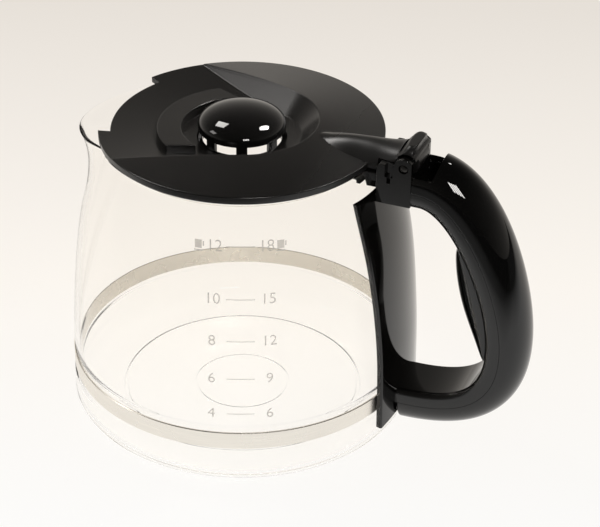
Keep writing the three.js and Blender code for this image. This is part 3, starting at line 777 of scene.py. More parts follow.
@dataclass(frozen=True)
class MouldedPlastic(Finish):
    """Black injection moulding, polished or with a fine spark-eroded grain."""

    colour: Colour = (0.0062, 0.0058, 0.0054, 1)
    roughness: Point = (0.19, 0.25)
    grain_scale: float = 2400
    grain_height: float = 0.08
    ripple_height: float = 0.0
    coarser: float = 0.0
    coarse_span: Point = (0.036, 0.056)
    cloud_scale: float = 55
    grain_depth: float = 0.05
    ripple_scale: float = 160
    ripple_depth: float = 0.2
    tone_swing: float = 0.2

    def surface(self, graph: Graph) -> Socket:
        """The shader of the finish.

        Args:
            graph: The material's graph.

        Returns:
            The shader's output socket.
        """
        place = graph.add("TexCoord").outputs["Object"]
        grain = graph.noise(place, self.grain_scale, 4)
        cloud = graph.noise(place, self.cloud_scale, 4)
        ripple = graph.noise(place, self.ripple_scale, 1)
        fine = graph.bump(grain, self.grain_height, self.grain_depth)
        bump = graph.bump(ripple, self.ripple_height, self.ripple_depth, fine)
        coarse = graph.spread(graph.dot(place, (1, 0, 0)), 0, self.coarser, self.coarse_span)
        shader = graph.add(
            "BsdfPrincipled",
            {
                "Base Color": graph.tones(cloud, self.colour, self.tone_swing),
                "Roughness": graph.math("ADD", graph.spread(cloud, *self.roughness), coarse),
                "Normal": bump,
            },
        )
        return shader.outputs["BSDF"]


@dataclass(frozen=True)
class FiredPrint(Finish):
    """Pale enamel print, fired on the glass and slightly uneven."""

    colour: Colour = (0.8, 0.77, 0.72, 1)
    cover: float = 0.52
    roughness: float = 0.45
    speck_scale: float = 1500
    tone_swing: float = 0.1

    def surface(self, graph: Graph) -> Socket:
        """The shader of the finish.

        Args:
            graph: The material's graph.

        Returns:
            The shader's output socket.
        """
        place = graph.add("TexCoord").outputs["Object"]
        speck = graph.noise(place, self.speck_scale, 3)
        shader = graph.add(
            "BsdfPrincipled",
            {
                "Base Color": graph.tones(speck, self.colour, self.tone_swing),
                "Roughness": self.roughness,
                "Alpha": self.cover,
            },
        )
        return shader.outputs["BSDF"]


@dataclass(frozen=True)
class PaleFloor(Finish):
    """Pale table that keeps part of the shadow, with a painted light falloff from near to far, and
    painted shade toward its side and front in reflections.
    """

    # painted light falloff: colours of the table from near the camera to far from it
    near: Colour = (1.0, 0.992, 0.975, 1)
    middle: Colour = (0.99, 0.945, 0.885, 1)
    far: Colour = (0.82, 0.77, 0.71, 1)
    depth_way: Triple = (-0.361, 0.933, 0)
    depth_span: Point = (-0.1, 0.4)
    middle_at: float = 0.37
    side_way: Triple = (0.82, -0.57, 0)
    side_span: Point = (0.27, 0.56)
    front_way: Triple = (0, -1, 0)
    front_span: Point = (0.11, 0.24)
    side_reflection_shade: float = 0.08
    # painted shade in reflections: share of brightness kept toward the side and the front
    front_reflection_shade: float = 0.25
    glow_share: float = 0.95

    def surface(self, graph: Graph) -> Socket:
        """The shader of the finish.

        Args:
            graph: The material's graph.

        Returns:
            The shader's output socket.
        """
        path = graph.add("LightPath")
        seen = path.outputs["Is Camera Ray"]
        for name in ("Is Glossy Ray", "Is Transmission Ray"):
            seen = graph.math("MAXIMUM", seen, path.outputs[name])
        place = graph.add("TexCoord").outputs["Object"]
        # painted light falloff: the table runs from lighter near the camera to darker far from it
        tone = graph.ramp(
            graph.spread(graph.dot(place, self.depth_way), 0, 1, self.depth_span),
            [(0, self.near), (self.middle_at, self.middle), (1, self.far)],
        )
        # painted shade that glossy rays see, darker toward the side and the front
        side = graph.spread(graph.dot(place, self.side_way), 1, self.side_reflection_shade, self.side_span)
        front = graph.spread(graph.dot(place, self.front_way), 1, self.front_reflection_shade, self.front_span)
        reflected_with_painted_shade = graph.mix(1.0, tone, graph.grey(graph.math("MULTIPLY", side, front)), "MULTIPLY")
        colour = graph.mix(path.outputs["Is Glossy Ray"], tone, reflected_with_painted_shade)
        matt = graph.add("BsdfDiffuse", {"Color": colour})
        glow = graph.add("Emission", {"Color": colour, "Strength": 1.0})
        mix = graph.add("MixShader", {"Fac": graph.math("MULTIPLY", seen, self.glow_share)})
        graph.feed(mix.inputs[1], matt.outputs["BSDF"])
        graph.feed(mix.inputs[2], glow.outputs["Emission"])
        return mix.outputs["Shader"]


GLASS = ClearGlass("clear_glass")
STEEL = BrushedSteel("brushed_steel", inner_face_shade=0.86)
ZINC = BrushedSteel("zinc_plate", (0.6, 0.6, 0.58, 1), (0.25, 0.4), 1800, (1, 1, 1))
DARK_STEEL = BrushedSteel(
    "blackened_steel", (0.05, 0.048, 0.045, 1), (0.18, 0.3), 1800, (1, 1, 1)
)
SATIN = MouldedPlastic("satin_black_moulding", coarser=0.16)
SLEEK = MouldedPlastic(
    "sleek_black_moulding",
    (0.0045, 0.0043, 0.004, 1),
    (0.05, 0.08),
    grain_height=0.015,
)
GLOSS = MouldedPlastic(
    "polished_black_moulding",
    (0.0035, 0.0034, 0.0033, 1),
    (0.02, 0.04),
    grain_height=0.006,
    ripple_height=0.012,
)
PRINT = FiredPrint("fired_print")
FLOOR = PaleFloor("pale_floor")


def dress(
    piece: Piece,
    finish: Finish,
    body: Body,
    slot: Slot | None = None,
    stands_for: Sequence[str] = (),
) -> Piece:
    """Gives a finished piece its material and ties it to the CAD frame.

    Args:
        piece: The finished object, in place.
        finish: Its finish.
        body: The body that it moves with.
        slot: Not used.
        stands_for: CAD nodes that the piece replaces.

    Returns:
        The piece.
    """
    piece.data.materials.clear()
    piece.data.materials.append(finish.material())
    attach(piece, body.value)
    if stands_for:
        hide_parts(*stands_for)
    LOG.info("%s: %d faces", piece.name, len(piece.data.polygons))
    return piece


@dataclass
class GlassJug:
    """Blown glass body with a drawn lip and a channel for the clamp band."""

    height: float = 126.3
    wall: float = 2.0
    floor: float = 2.5
    knots: tuple[Point, ...] = ((74.5, 7.0), (73.3, 48.0), (68.9, 90.0), (58.8, 126.3))
    channel: Point = (17.9, 26.5)
    channel_depth: float = 0.9
    channel_slope: float = 3.4
    base_rings: tuple[Triple, ...] = ((20.5, 2.0, 0.38), (52.0, 3.2, 0.85))
    lip_reach: float = 14.2
    lip_drop: float = 4.5
    lip_half_angle: float = 36.0
    lip_root: float = 98.0
    lip_powers: Point = (1.3, 2.0)
    crease: float = 60.0
    halvings: int = 40
    segments: int = 192

    def radius(self, height: float) -> float:
        """Outer radius at a height, without the channel.

        Args:
            height: Height on the jug.

        Returns:
            The radius on a smooth curve through the knots.
        """
        knots = [
            tuple(2 * a - b for a, b in zip(self.knots[0], self.knots[1])),
            *self.knots,
            tuple(2 * a - b for a, b in zip(self.knots[-1], self.knots[-2])),
        ]
        height = min(max(height, self.knots[0][1]), self.knots[-1][1])
        for before, a, b, after in zip(knots, knots[1:], knots[2:], knots[3:]):
            if height <= b[1]:
                break
        low, high = 0.0, 1.0
        for _ in range(self.halvings):
            middle = (low + high) / 2
            if self.spline(before[1], a[1], b[1], after[1], middle) < height:
                low = middle
            else:
                high = middle
        return self.spline(before[0], a[0], b[0], after[0], low)

    @staticmethod
    def spline(before: float, a: float, b: float, after: float, t: float) -> float:
        """A value between a and b on a spline whose slopes come from the neighbours.

        Args:
            before: Value before a.
            a: Value at the start.
            b: Value at the end.
            after: Value after b.
            t: Share of the way from a to b.

        Returns:
            The value.
        """
        slope_a, slope_b = (b - before) / 2, (after - a) / 2
        return (
            (2 * a - 2 * b + slope_a + slope_b) * t**3
            + (-3 * a + 3 * b - 2 * slope_a - slope_b) * t**2
            + slope_a * t
            + a
        )

    def outside(self, height: float) -> float:
        """Outer radius at a height, with the channel.

        Args:
            height: Height on the jug.

        Returns:
            The radius.
        """
        low, high = self.channel
        sunk = smoothstep(height, low - self.channel_slope, low)
        sunk *= 1 - smoothstep(height, high, high + self.channel_slope)
        floor = self.radius(high) - self.channel_depth
        return lerp(self.radius(height), floor, sunk)

    def profile(self) -> list[Point]:
        """Half section of the glass.

        Returns:
            Radius and height of points from under the base round to the floor.
        """
        body_radius, corner = self.knots[0]
        grooves = [
            (radius + share * width / 2, depth * math.cos(share * math.pi / 2) ** 2)
            for radius, width, depth in self.base_rings
            for share in steps(-1, 1, 8)
        ]
        heights = [
            *steps(corner, self.channel[0] - self.channel_slope, 5)[1:],
            *steps(self.channel[0] - self.channel_slope, self.channel[0], 8)[1:],
            *steps(self.channel[1], self.channel[1] + self.channel_slope, 8),
            *steps(self.channel[1] + self.channel_slope, self.height - self.wall / 2, 44)[1:],
        ]
        rim_middle = self.height - self.wall / 2
        rim = arc((self.radius(rim_middle) - self.wall / 2, rim_middle), self.wall / 2, 0, 180, 12)
        inside = [(self.outside(z) - self.wall, z) for z in reversed(heights[:-1])]
        inner_corner = corner - self.wall
        return [
            (0, 0),
            *grooves,
            *arc((body_radius - corner, corner), corner, -90, 0, 20),
            *[(self.outside(z), z) for z in heights[:-1]],
            *rim,
            *[p for p in inside if p[1] > self.floor + inner_corner],
            *arc((body_radius - corner, self.floor + inner_corner), inner_corner, 0, -90, 16),
            (0, self.floor),
        ]

    def draw_lip(self, piece: Piece) -> None:
        """Pulls the rim outward and down on the lip's side, most in its middle.

        Args:
            piece: The turned glass.
        """
        for vertex in piece.data.vertices:
            x, y, z = vertex.co / MM
            across = abs(math.atan2(y, -x)) / math.radians(self.lip_half_angle)
            up = (z - self.lip_root) / (self.height - self.lip_root)
            radius = math.hypot(x, y)
            if across >= 1 or up <= 0 or radius < self.knots[-1][0] / 2:
                continue
            pull = math.cos(across * math.pi / 2) ** self.lip_powers[0] * up ** self.lip_powers[1]
            stretch = 1 + self.lip_reach * pull / radius
            vertex.co = mm(x * stretch, y * stretch, z - self.lip_drop * pull)

    def build(self) -> Piece:
        """Makes the glass.

        Returns:
            The glass, which stands for its CAD node.
        """
        piece = Bench.turn("jug_glass", self.profile(), self.segments)
        self.draw_lip(piece)
        Bench.take(piece)
        bpy.ops.object.shade_smooth_by_angle(angle=math.radians(self.crease))
        piece.visible_shadow = False
        return dress(piece, GLASS, Body.JUG, Slot.GLASS, ["glass_jug"])


@dataclass
class CupScale:
    """Printed scale of large and small cups on the front of the glass."""

    jug: GlassJug
    azimuth: float = -67.6
    rows: tuple[tuple[str, str, float], ...] = (
        ("12", "18", 110.3),
        ("10", "15", 88.8),
        ("8", "12", 70.2),
        ("6", "9", 52.7),
        ("4", "6", 35.9),
    )
    digit_height: float = 4.6
    digit_share: float = 0.7
    stroke_thinning: float = 0.04
    line_half_length: float = 5.8
    line_width: float = 0.35
    column_angle: float = 9.4
    cup_column: float = 16.6
    cup_strips: tuple[tuple[float, float, float, float, int], ...] = (
        (-1.9, -1.4, 1.0, 1.9, 6),
        (1.3, -0.4, 1.9, 1.4, 2),
        (-2.2, -2.4, 1.4, -1.9, 6),
    )
    clearance: float = 0.02
    film: float = 0.03

    def on_glass(self, piece: Piece, height: float) -> None:
        """Wraps a flat mesh onto the glass.

        Args:
            piece: The flat mesh, drawn in X and Y in millimetres.
            height: Height on the jug.
        """
        for vertex in piece.data.vertices:
            z = height + vertex.co.y
            radius = self.jug.radius(z) + self.clearance
            angle = math.radians(self.azimuth) + vertex.co.x / radius
            vertex.co = mm(radius * math.cos(angle), radius * math.sin(angle), z)

    def number(self, text: str, side: int, height: float) -> Piece:
        """One number of the scale.

        Args:
            text: Its digits.
            side: -1 left of the scale's middle, 1 right of it.
            height: Height of its middle on the jug.

        Returns:
            The number as a flat mesh on the glass.
        """
        Bench.clear()
        bpy.ops.object.text_add(location=(0, 0, 0))
        letters = bpy.context.object
        letters.data.body = text
        letters.data.align_x = "CENTER"
        letters.data.align_y = "CENTER"
        letters.data.size = self.digit_height / self.digit_share
        letters.data.offset = -self.stroke_thinning
        letters.data.resolution_u = 6
        bpy.ops.object.convert(target="MESH")
        piece = bpy.context.object
        column = side * math.radians(self.column_angle) * self.jug.radius(height)
        for vertex in piece.data.vertices:
            vertex.co.x += column
        self.on_glass(piece, height)
        return piece

    def strip(self, low: Point, high: Point, height: float, cuts: int = 16) -> Piece:
        """A printed strip, divided so that it follows the wall.

        Args:
            low: Lower left corner.
            high: Upper right corner.
            height: Height on the jug.
            cuts: Number of faces along it.

        Returns:
            The strip on the glass.
        """
        Bench.clear()
        bpy.ops.mesh.primitive_grid_add(x_subdivisions=cuts, y_subdivisions=2, size=1)
        piece = bpy.context.object
        for vertex in piece.data.vertices:
            vertex.co.x = lerp(low[0], high[0], vertex.co.x + 0.5)
            vertex.co.y = lerp(low[1], high[1], vertex.co.y + 0.5)
        self.on_glass(piece, height)
        return piece

    def cup(self, column: float, height: float) -> list[Piece]:
        """A plain cup sign of three strips: bowl, handle and saucer."""
        return [
            self.strip((column + left, low), (column + right, high), height, cuts)
            for left, low, right, high, cuts in self.cup_strips
        ]

    def build(self) -> Piece:
        """Makes the print.

        Returns:
            All marks as one thin film on the glass.
        """
        marks: list[Piece] = []
        half, width = self.line_half_length, self.line_width / 2
        for large, small, height in self.rows:
            marks += [self.number(large, -1, height), self.number(small, 1, height)]
            marks.append(self.strip((-half, -width), (half, width), height))
        top = self.rows[0][2]
        marks += self.cup(-self.cup_column, top) + self.cup(self.cup_column, top)
        Bench.clear()
        for mark in marks:
            mark.select_set(True)
        bpy.context.view_layer.objects.active = marks[0]
        bpy.ops.object.join()
        piece = bpy.context.object
        piece.name = "cup_scale"
        Bench.edit(piece)
        bpy.ops.mesh.normals_make_consistent(inside=False)
        bpy.ops.object.mode_set(mode="OBJECT")
        Bench.apply(piece, "SOLIDIFY", thickness=self.film * MM, offset=1.0)
        piece.visible_shadow = False
        return dress(piece, PRINT, Body.JUG)


@dataclass
class ClampBand:
    """Steel band round the foot of the glass, with two ears drawn together by a screw."""

    bottom: float = 18.2
    width: float = 8.0
    inner: float = 73.52
    thickness: float = 0.7
    edge: float = 0.25
    ear_offset: float = 3.0
    ear_end: float = 87.2
    ear_low: float = 15.6
    ear_top: float = 22.0
    ear_root: float = 75.0
    bore: Point = (80.8, 18.8)
    bore_radius: float = 2.2
    segments: int = 180

    def build(self) -> Piece:
        """Makes the band.

        Returns:
            The band with its ears, which stands for its CAD node.
        """
        outer, top = self.inner + self.thickness, self.bottom + self.width
        edge = self.edge
        section = [
            (self.inner, self.bottom),
            (outer - edge, self.bottom),
            (outer, self.bottom + edge),
            (outer, top - edge),
            (outer - edge, top),
            (self.inner, top),
            (self.inner, self.bottom),
        ]
        opening = math.asin(self.ear_offset / self.inner)
        piece = Bench.string("steel_band", [mm(radius, 0, height) for radius, height in section])
        bpy.ops.mesh.remove_doubles(threshold=FINE_WELD * MM)
        bpy.ops.mesh.spin(
            steps=self.segments, angle=math.tau - 2 * opening, center=(0, 0, 0), axis=(0, 0, 1)
        )
        bpy.ops.mesh.select_all(action="SELECT")
        bpy.ops.mesh.fill_holes(sides=0)
        bpy.ops.object.mode_set(mode="OBJECT")
        Bench.close(Bench.put(piece, Matrix.Rotation(opening, 4, "Z")))
        for side in (-1, 1):
            near, far = sorted((side * self.ear_offset, side * (self.ear_offset + self.thickness)))
            end = (self.ear_end, far, self.ear_top)
            root = Bench.block((self.inner, near, self.bottom), end)
            ear = Bench.block((self.ear_root, near, self.ear_low), end)
            Bench.join(piece, Bench.join(root, ear))
        Bench.cut(piece, Bench.cross_rod(self.bore, self.bore_radius, half_width=20, segments=32))
        Bench.smooth(piece, angle=30)
        return dress(piece, STEEL, Body.JUG, Slot.STEEL, ["clamp_band"])


@dataclass
class GripLine:
    """The finger side of the grip in the middle plane, with the grip's depth and width along it."""

    start_x: float = 77.0
    bend_x: float = 82.0
    top: float = 115.2
    reach: float = 114.3
    waist: float = 54.0
    foot: float = 25.0
    foot_x: float = 75.7
    pulls: tuple[float, float, float, float] = (13.5, 24.0, 21.2, 27.3)
    depths: Triple = (21.4, 16.8, 19.2)
    half_widths: Triple = (12.3, 13.2, 12.4)
    seam: float = 6.7
    samples: int = 200
    slope_step: float = 2e-3
    points: list[Point] = field(default_factory=list)
    lengths: list[float] = field(default_factory=list)
    waist_share: float = 0.0

    def __post_init__(self) -> None:
        """Samples the line and measures it."""
        top_bend = [
            (self.bend_x, self.top),
            (self.bend_x + self.pulls[0], self.top),
            (self.reach, self.waist + self.pulls[1]),
            (self.reach, self.waist),
        ]
        low_bend = [
            (self.reach, self.waist),
            (self.reach, self.waist - self.pulls[2]),
            (self.foot_x + self.pulls[3], self.foot),
            (self.foot_x, self.foot),
        ]
        self.points = [(self.start_x, self.top)]
        self.points += [self.bezier(top_bend, t) for t in steps(0, 1, self.samples)]
        waist_at = len(self.points) - 1
        self.points += [self.bezier(low_bend, t) for t in steps(0, 1, self.samples)[1:]]
        self.lengths = [0.0]
        for a, b in zip(self.points, self.points[1:]):
            self.lengths.append(self.lengths[-1] + math.dist(a, b))
        self.waist_share = self.lengths[waist_at] / self.lengths[-1]

    @staticmethod
    def bezier(pulls: Sequence[Point], t: float) -> Point:
        """A point of a cubic curve."""
        weights = ((1 - t) ** 3, 3 * t * (1 - t) ** 2, 3 * t * t * (1 - t), t**3)
        return tuple(sum(w * p[i] for w, p in zip(weights, pulls)) for i in (0, 1))

    def at(self, share: float) -> Point:
        """The point of the line at a share of its length.

        Args:
            share: Share of the line's length.

        Returns:
            X and Z of the point.
        """
        goal = min(max(share, 0.0), 1.0) * self.lengths[-1]
        reached = (i for i, length in enumerate(self.lengths) if length >= goal)
        after = max(next(reached, len(self.lengths) - 1), 1)
        a, b = self.lengths[after - 1], self.lengths[after]
        part = (goal - a) / (b - a)
        return tuple(lerp(p, q, part) for p, q in zip(self.points[after - 1], self.points[after]))

    def along(self, values: Triple, share: float) -> float:
        """A value that runs from the grip's top through its waist to its foot.

        Args:
            values: The value at top, waist and foot.
            share: Share of the line's length.

        Returns:
            The value there.
        """
        top, waist, foot = values
        if share < self.waist_share:
            return lerp(top, waist, smoothstep(share, 0, self.waist_share))
        return lerp(waist, foot, smoothstep(share, self.waist_share, 1))

    def half(self, share: float) -> float:
        """Half the grip's width at a share of its length."""
        return self.along(self.half_widths, share)

    def depth(self, share: float) -> float:
        """The grip's depth at a share of its length."""
        return self.along(self.depths, share)

    def place(self, share: float, y: float, depth: float) -> Vector:
        """A point on the grip, in metres.

        Args:
            share: Share of the line's length.
            y: Distance from the middle plane.
            depth: Distance outward from the finger side.

        Returns:
            The point.
        """
        x, z = self.at(share)
        ax, az = self.at(share + self.slope_step)
        bx, bz = self.at(share - self.slope_step)
        length = math.hypot(ax - bx, az - bz)
        return mm(x - (az - bz) / length * depth, y, z + (ax - bx) / length * depth)

    def share_at_x(self, x: float) -> float:
        """Share of the line's length at which the straight upper arm passes an X."""
        return (x - self.start_x) / self.lengths[-1]


@dataclass
class LeverRoom:
    """The room behind the hinge in which the thumb lever swings back."""

    hinge: Point = HINGE
    radius: float = 10.3
    half_width: float = 9.9
    start: float = 78.03
    mouth: tuple[Point, ...] = (
        (78.03, 126.6),
        (86.0, 126.6),
        (87.8, 130.4),
        (90.6, 141.0),
        (78.03, 141.0),
    )
    mouth_half_width: float = 10.8

    def opening(self) -> Piece:
        """The mouth of the room in the cover, as a cutting tool."""
        return Bench.slab("mouth", self.mouth, self.mouth_half_width)

    def tool(self) -> Piece:
        """The room as a cutting tool.

        Returns:
            The closed tool.
        """
        x, z = self.hinge
        room = Bench.cross_rod(self.hinge, self.radius, self.half_width, segments=96)
        Bench.cut(room, Bench.block((0, -FAR, 0), (self.start, FAR, 2 * FAR)))
        low, high = (self.start, -self.half_width, z), (x + self.radius, self.half_width, FAR)
        return Bench.join(room, Bench.block(low, high))


@dataclass
class Grip:
    """The looped grip: glossy cover outside and a swelling insert on the finger side."""

    line: GripLine
    room: LeverRoom
    wall: float = 2.4
    cover_start: float = 79.02
    strap_outside: float = 78.2
    screw_share: float = 0.88
    screw_recess: float = 5.0
    screw_room: float = 3.5
    insert_span: Point = (0.225, 0.623)
    insert_height: float = 11.2
    insert_end_height: float = 2.2
    insert_swell: float = 0.6
    insert_wall: float = 1.8
    insert_margin: float = 2.6
    insert_gap: float = 0.3
    edge: float = 0.18
    cover_steps: tuple[int, int] = (140, 48)
    insert_steps: tuple[int, int] = (80, 40)

    def cover_point(self, along: float, across: float) -> Vector:
        """A point of the cover's outer side.

        Args:
            along: Share along the grip.
            across: Share round its section.

        Returns:
            The point in metres.
        """
        share = lerp(self.line.share_at_x(self.cover_start), 1, along)
        angle = math.pi * (1 - across)
        depth = self.line.depth(share) - self.line.seam
        y = self.line.half(share) * math.cos(angle)
        return self.line.place(share, y, self.line.seam + depth * math.sin(angle))

    def cover(self) -> Piece:
        """The glossy outer half of the grip.

        Returns:
            The cover, which stands for its CAD node.
        """
        piece = Bench.lay("grip_cover", *self.cover_steps, self.cover_point)
        Bench.apply(piece, "SOLIDIFY", thickness=self.wall * MM, offset=-1.0, use_even_offset=True)
        strap = Bench.rod(mm(0, 0, -FAR), mm(0, 0, self.line.foot), self.strap_outside, 192)
        depth = self.line.depth(self.screw_share)
        seat = self.line.place(self.screw_share, 0, depth - self.screw_recess)
        outside = self.line.place(self.screw_share, 0, depth + PAST)
        Bench.cut(piece, self.room.opening(), strap, Bench.rod(seat, outside, self.screw_room))
        Bench.smooth(Bench.soften(piece, self.edge, angle=50), angle=38)
        return dress(piece, GLOSS, Body.JUG, Slot.GLOSS, ["handle_cover"])

    def insert_point(self, along: float, across: float) -> Vector:
        """A point of the insert's outer side, which swells toward the fingers.

        Args:
            along: Share along the grip.
            across: Share round its section.

        Returns:
            The point in metres.
        """
        share = lerp(*self.insert_span, along)
        half = self.line.half(share) - self.insert_margin
        swell = max(math.sin(math.pi * along), 0) ** self.insert_swell
        height = lerp(self.insert_end_height, self.insert_height, swell)
        angle = math.pi * across
        depth = -self.insert_gap - height * math.sin(angle)
        return self.line.place(share, half * math.cos(angle), depth)

    def insert(self) -> Piece:
        """The swelling insert under the fingers.

        Returns:
            The insert, which stands for its CAD node.
        """
        piece = Bench.lay("finger_insert", *self.insert_steps, self.insert_point)
        Bench.apply(piece, "SOLIDIFY", thickness=self.insert_wall * MM, offset=-1.0)
        Bench.smooth(piece, angle=40)
        return dress(piece, GLOSS, Body.JUG, Slot.SATIN, ["grip_insert"])

    def build(self) -> list[Piece]:
        """Makes the grip's two mouldings."""
        return [self.cover(), self.insert()]


@dataclass
class HandleFrame:
    """Inner half of the handle: strap on the glass, hinge head, rim hook and grip channel."""

    jug: GlassJug
    line: GripLine
    room: LeverRoom
    edge: float = 0.3
    head_back: float = 64.0
    head_end: float = 79.0
    head_top: float = 133.0
    head_corner: float = 1.2
    cheek_radius: float = 4.4
    slot_half_width: float = 6.9
    slot_floor: float = 127.9
    knuckle_room: float = 5.5
    pin_room: float = 2.06
    keyhole_x: float = 69.3
    keyhole_widths: Point = (3.4, 1.6)
    keyhole_step: float = 127.6
    keyhole_bottom: float = 124.8
    keyhole_depth: float = 2.0
    hook_inside: float = 54.8
    hook_bottom: float = 121.4
    hook_half_width: float = 11.4
    glass_gap: float = 0.6
    strap_wall: float = 2.5
    strap_half_angles: Point = (17.2, 20.8)
    strap_flare_from: float = 40.0
    strap_top: float = 117.7
    strap_foot: Point = (13.0, 10.5)
    strap_edge: float = 0.9
    ear_window: Triple = (4.2, 15.1, 22.5)
    channel_depth: float = 6.6
    channel_wall: float = 2.4
    channel_edge: Point = (2.2, 5.2)
    core_end: float = 89.0
    core_half_width: float = 9.3
    screw_bore: float = 1.9
    screw_share: float = 0.44
    screw_bore_span: Point = (-1.0, 4.0)
    flush: float = 0.06
    seam_gap: float = 0.4
    rim_gap: float = 0.3
    channel_lap: Point = (0.8, 0.6)
    strap_steps: tuple[int, int] = (72, 32)
    channel_steps: int = 120

    def keyholes(self) -> list[Piece]:
        """Tools for the keyhole recess in the face of each cheek.

        Returns:
            One tool for each cheek.
        """
        half = self.line.half_widths[0]
        x, (wide, narrow) = self.keyhole_x, self.keyhole_widths
        tools = []
        for side in (-1, 1):
            near, far = sorted((side * (half - self.keyhole_depth), side * (half + PAST)))
            spans = (
                (wide / 2, self.keyhole_step, self.head_top + PAST),
                (narrow / 2, self.keyhole_bottom, self.keyhole_step + LAP),
            )
            blocks = [Bench.block((x - w, near, low), (x + w, far, top)) for w, low, top in spans]
            tools.append(Bench.join(*blocks))
        return tools

    def head(self) -> Piece:
        """The hinge head with its cheeks, slot and keyholes, and the lever's room.

        Returns:
            The closed head.
        """
        x, z = self.room.hinge
        start = math.degrees(math.acos((self.head_end - x) / self.cheek_radius))
        end = 180 - math.degrees(math.asin((self.head_top - z) / self.cheek_radius))
        outline = [
            (self.head_back, self.line.top),
            (self.head_end, self.line.top),
            *arc(self.room.hinge, self.cheek_radius, start, end, 24),
            (self.head_back + self.head_corner, self.head_top),
            (self.head_back, self.head_top - self.head_corner),
        ]
        piece = Bench.slab("handle_shell", outline, self.line.half_widths[0])
        Bench.cut(Bench.soften(piece, self.edge, angle=40), *self.keyholes())
        root = Bench.block(
            (self.line.start_x, -self.core_half_width, self.line.top + LAP),
            (self.core_end, self.core_half_width, self.line.top + self.line.seam + self.seam_gap),
        )
        Bench.join(piece, root)
        half = self.slot_half_width
        slot = Bench.block((0, -half, self.slot_floor), (self.head_end + LAP, half, FAR))
        knuckle = Bench.cross_rod(self.room.hinge, self.knuckle_room, half, segments=64)
        return Bench.cut(piece, slot, knuckle, self.room.tool())

    def hook(self) -> Piece:
        """The hook that holds the head on the glass rim.

        Returns:
            The closed hook.
        """
        low = (self.hook_inside, -self.hook_half_width, self.hook_bottom)
        top = self.slot_floor - self.flush
        block = Bench.block(low, (self.head_back + LAP, self.hook_half_width, top))
        heights = steps(self.hook_bottom - LAP, self.jug.height + self.rim_gap, 6)
        inner = [(self.jug.radius(z) - self.jug.wall - self.glass_gap, z) for z in heights]
        outer = [(self.jug.radius(z) + self.glass_gap, z) for z in reversed(heights)]
        Bench.cut(block, Bench.turn("glass_room", [*inner, *outer, inner[0]], 120))
        return Bench.soften(block, self.edge, angle=40)

    def strap(self) -> Piece:
        """The strap that lies on the glass, with rounded outer edges and an arched lower end.

        Returns:
            The closed strap.
        """
        middle, side = self.strap_foot
        rim = self.strap_edge
        stations = []
        up, around = self.strap_steps
        for rise in steps(0, 1, up):
            loop = []
            section = [(share, 0.0, 0.0) for share in steps(-1, 1, around)]
            section += [(1.0, rim * (math.cos(a) - 1), d) for a, d in self.rounded_side(rim)]
            for share in steps(1, -1, around)[1:-1]:
                section.append((share, -math.copysign(rim, share), self.strap_wall))
            back = reversed(self.rounded_side(rim))
            section += [(-1.0, rim * (1 - math.cos(a)), d) for a, d in back]
            for share, inset, depth in section:
                bottom = lerp(middle, side, share * share)
                z = lerp(bottom, self.strap_top, rise)
                flare = smoothstep(z, self.strap_flare_from, self.strap_top)
                half = math.radians(lerp(*self.strap_half_angles, flare))
                radius = self.jug.radius(z) + self.glass_gap + depth
                angle = share * half + inset * (abs(share) if depth else 0) / radius
                loop.append(mm(radius * math.cos(angle), radius * math.sin(angle), z))
            stations.append(loop)
        piece = Bench.loft("strap", stations)
        half, low, high = self.ear_window
        return Bench.cut(piece, Bench.block((0, -half, low), (FAR, half, high)))

    def rounded_side(self, rim: float) -> list[Point]:
        """Angle and depth of points round the strap's outer long edge."""
        flat = self.strap_wall - rim
        return [(a, flat + rim * math.sin(a)) for a in steps(0, math.pi / 2, 6)]

    def channel(self) -> Piece:
        """The frame's half of the grip: a channel open toward the cover.

        Returns:
            The closed channel.
        """
        (a, b), deep, wall = self.channel_edge, self.channel_depth, self.channel_wall
        before, after = self.channel_lap
        shares = steps(self.line.share_at_x(self.head_end + after), 1, self.channel_steps)
        start = self.line.share_at_x(self.head_end - before)
        stations = []
        for share, sunk in [(start, self.flush), *[(share, 0.0) for share in shares]]:
            half = self.line.half(share) - sunk
            inside = half - wall
            near, far = (arc((0, 0), 1, angle, angle + 90, 10) for angle in (180, 270))
            outline = [
                (-half, deep),
                *[(a * (1 + y) - half, b * (1 + d) + sunk) for y, d in near],
                *[(a * (y - 1) + half, b * (1 + d) + sunk) for y, d in far],
                (half, deep),
                (inside, deep),
                (inside, wall),
                (-inside, wall),
                (-inside, deep),
            ]
            stations.append([self.line.place(share, y, d) for y, d in outline])
        return Bench.loft("channel", stations)

    def build(self) -> Piece:
        """Makes the frame.

        Returns:
            The frame, which stands for its CAD node.
        """
        piece = Bench.join(self.head(), self.strap(), self.hook(), self.channel())
        Bench.cut(piece, Bench.cross_rod(self.room.hinge, self.pin_room, half_width=40))
        ends = [self.line.place(self.screw_share, 0, depth) for depth in self.screw_bore_span]
        Bench.cut(piece, Bench.rod(*ends, self.screw_bore, segments=32))
        Bench.smooth(piece, angle=32)
        return dress(piece, SLEEK, Body.JUG, Slot.SATIN, ["handle_frame"])


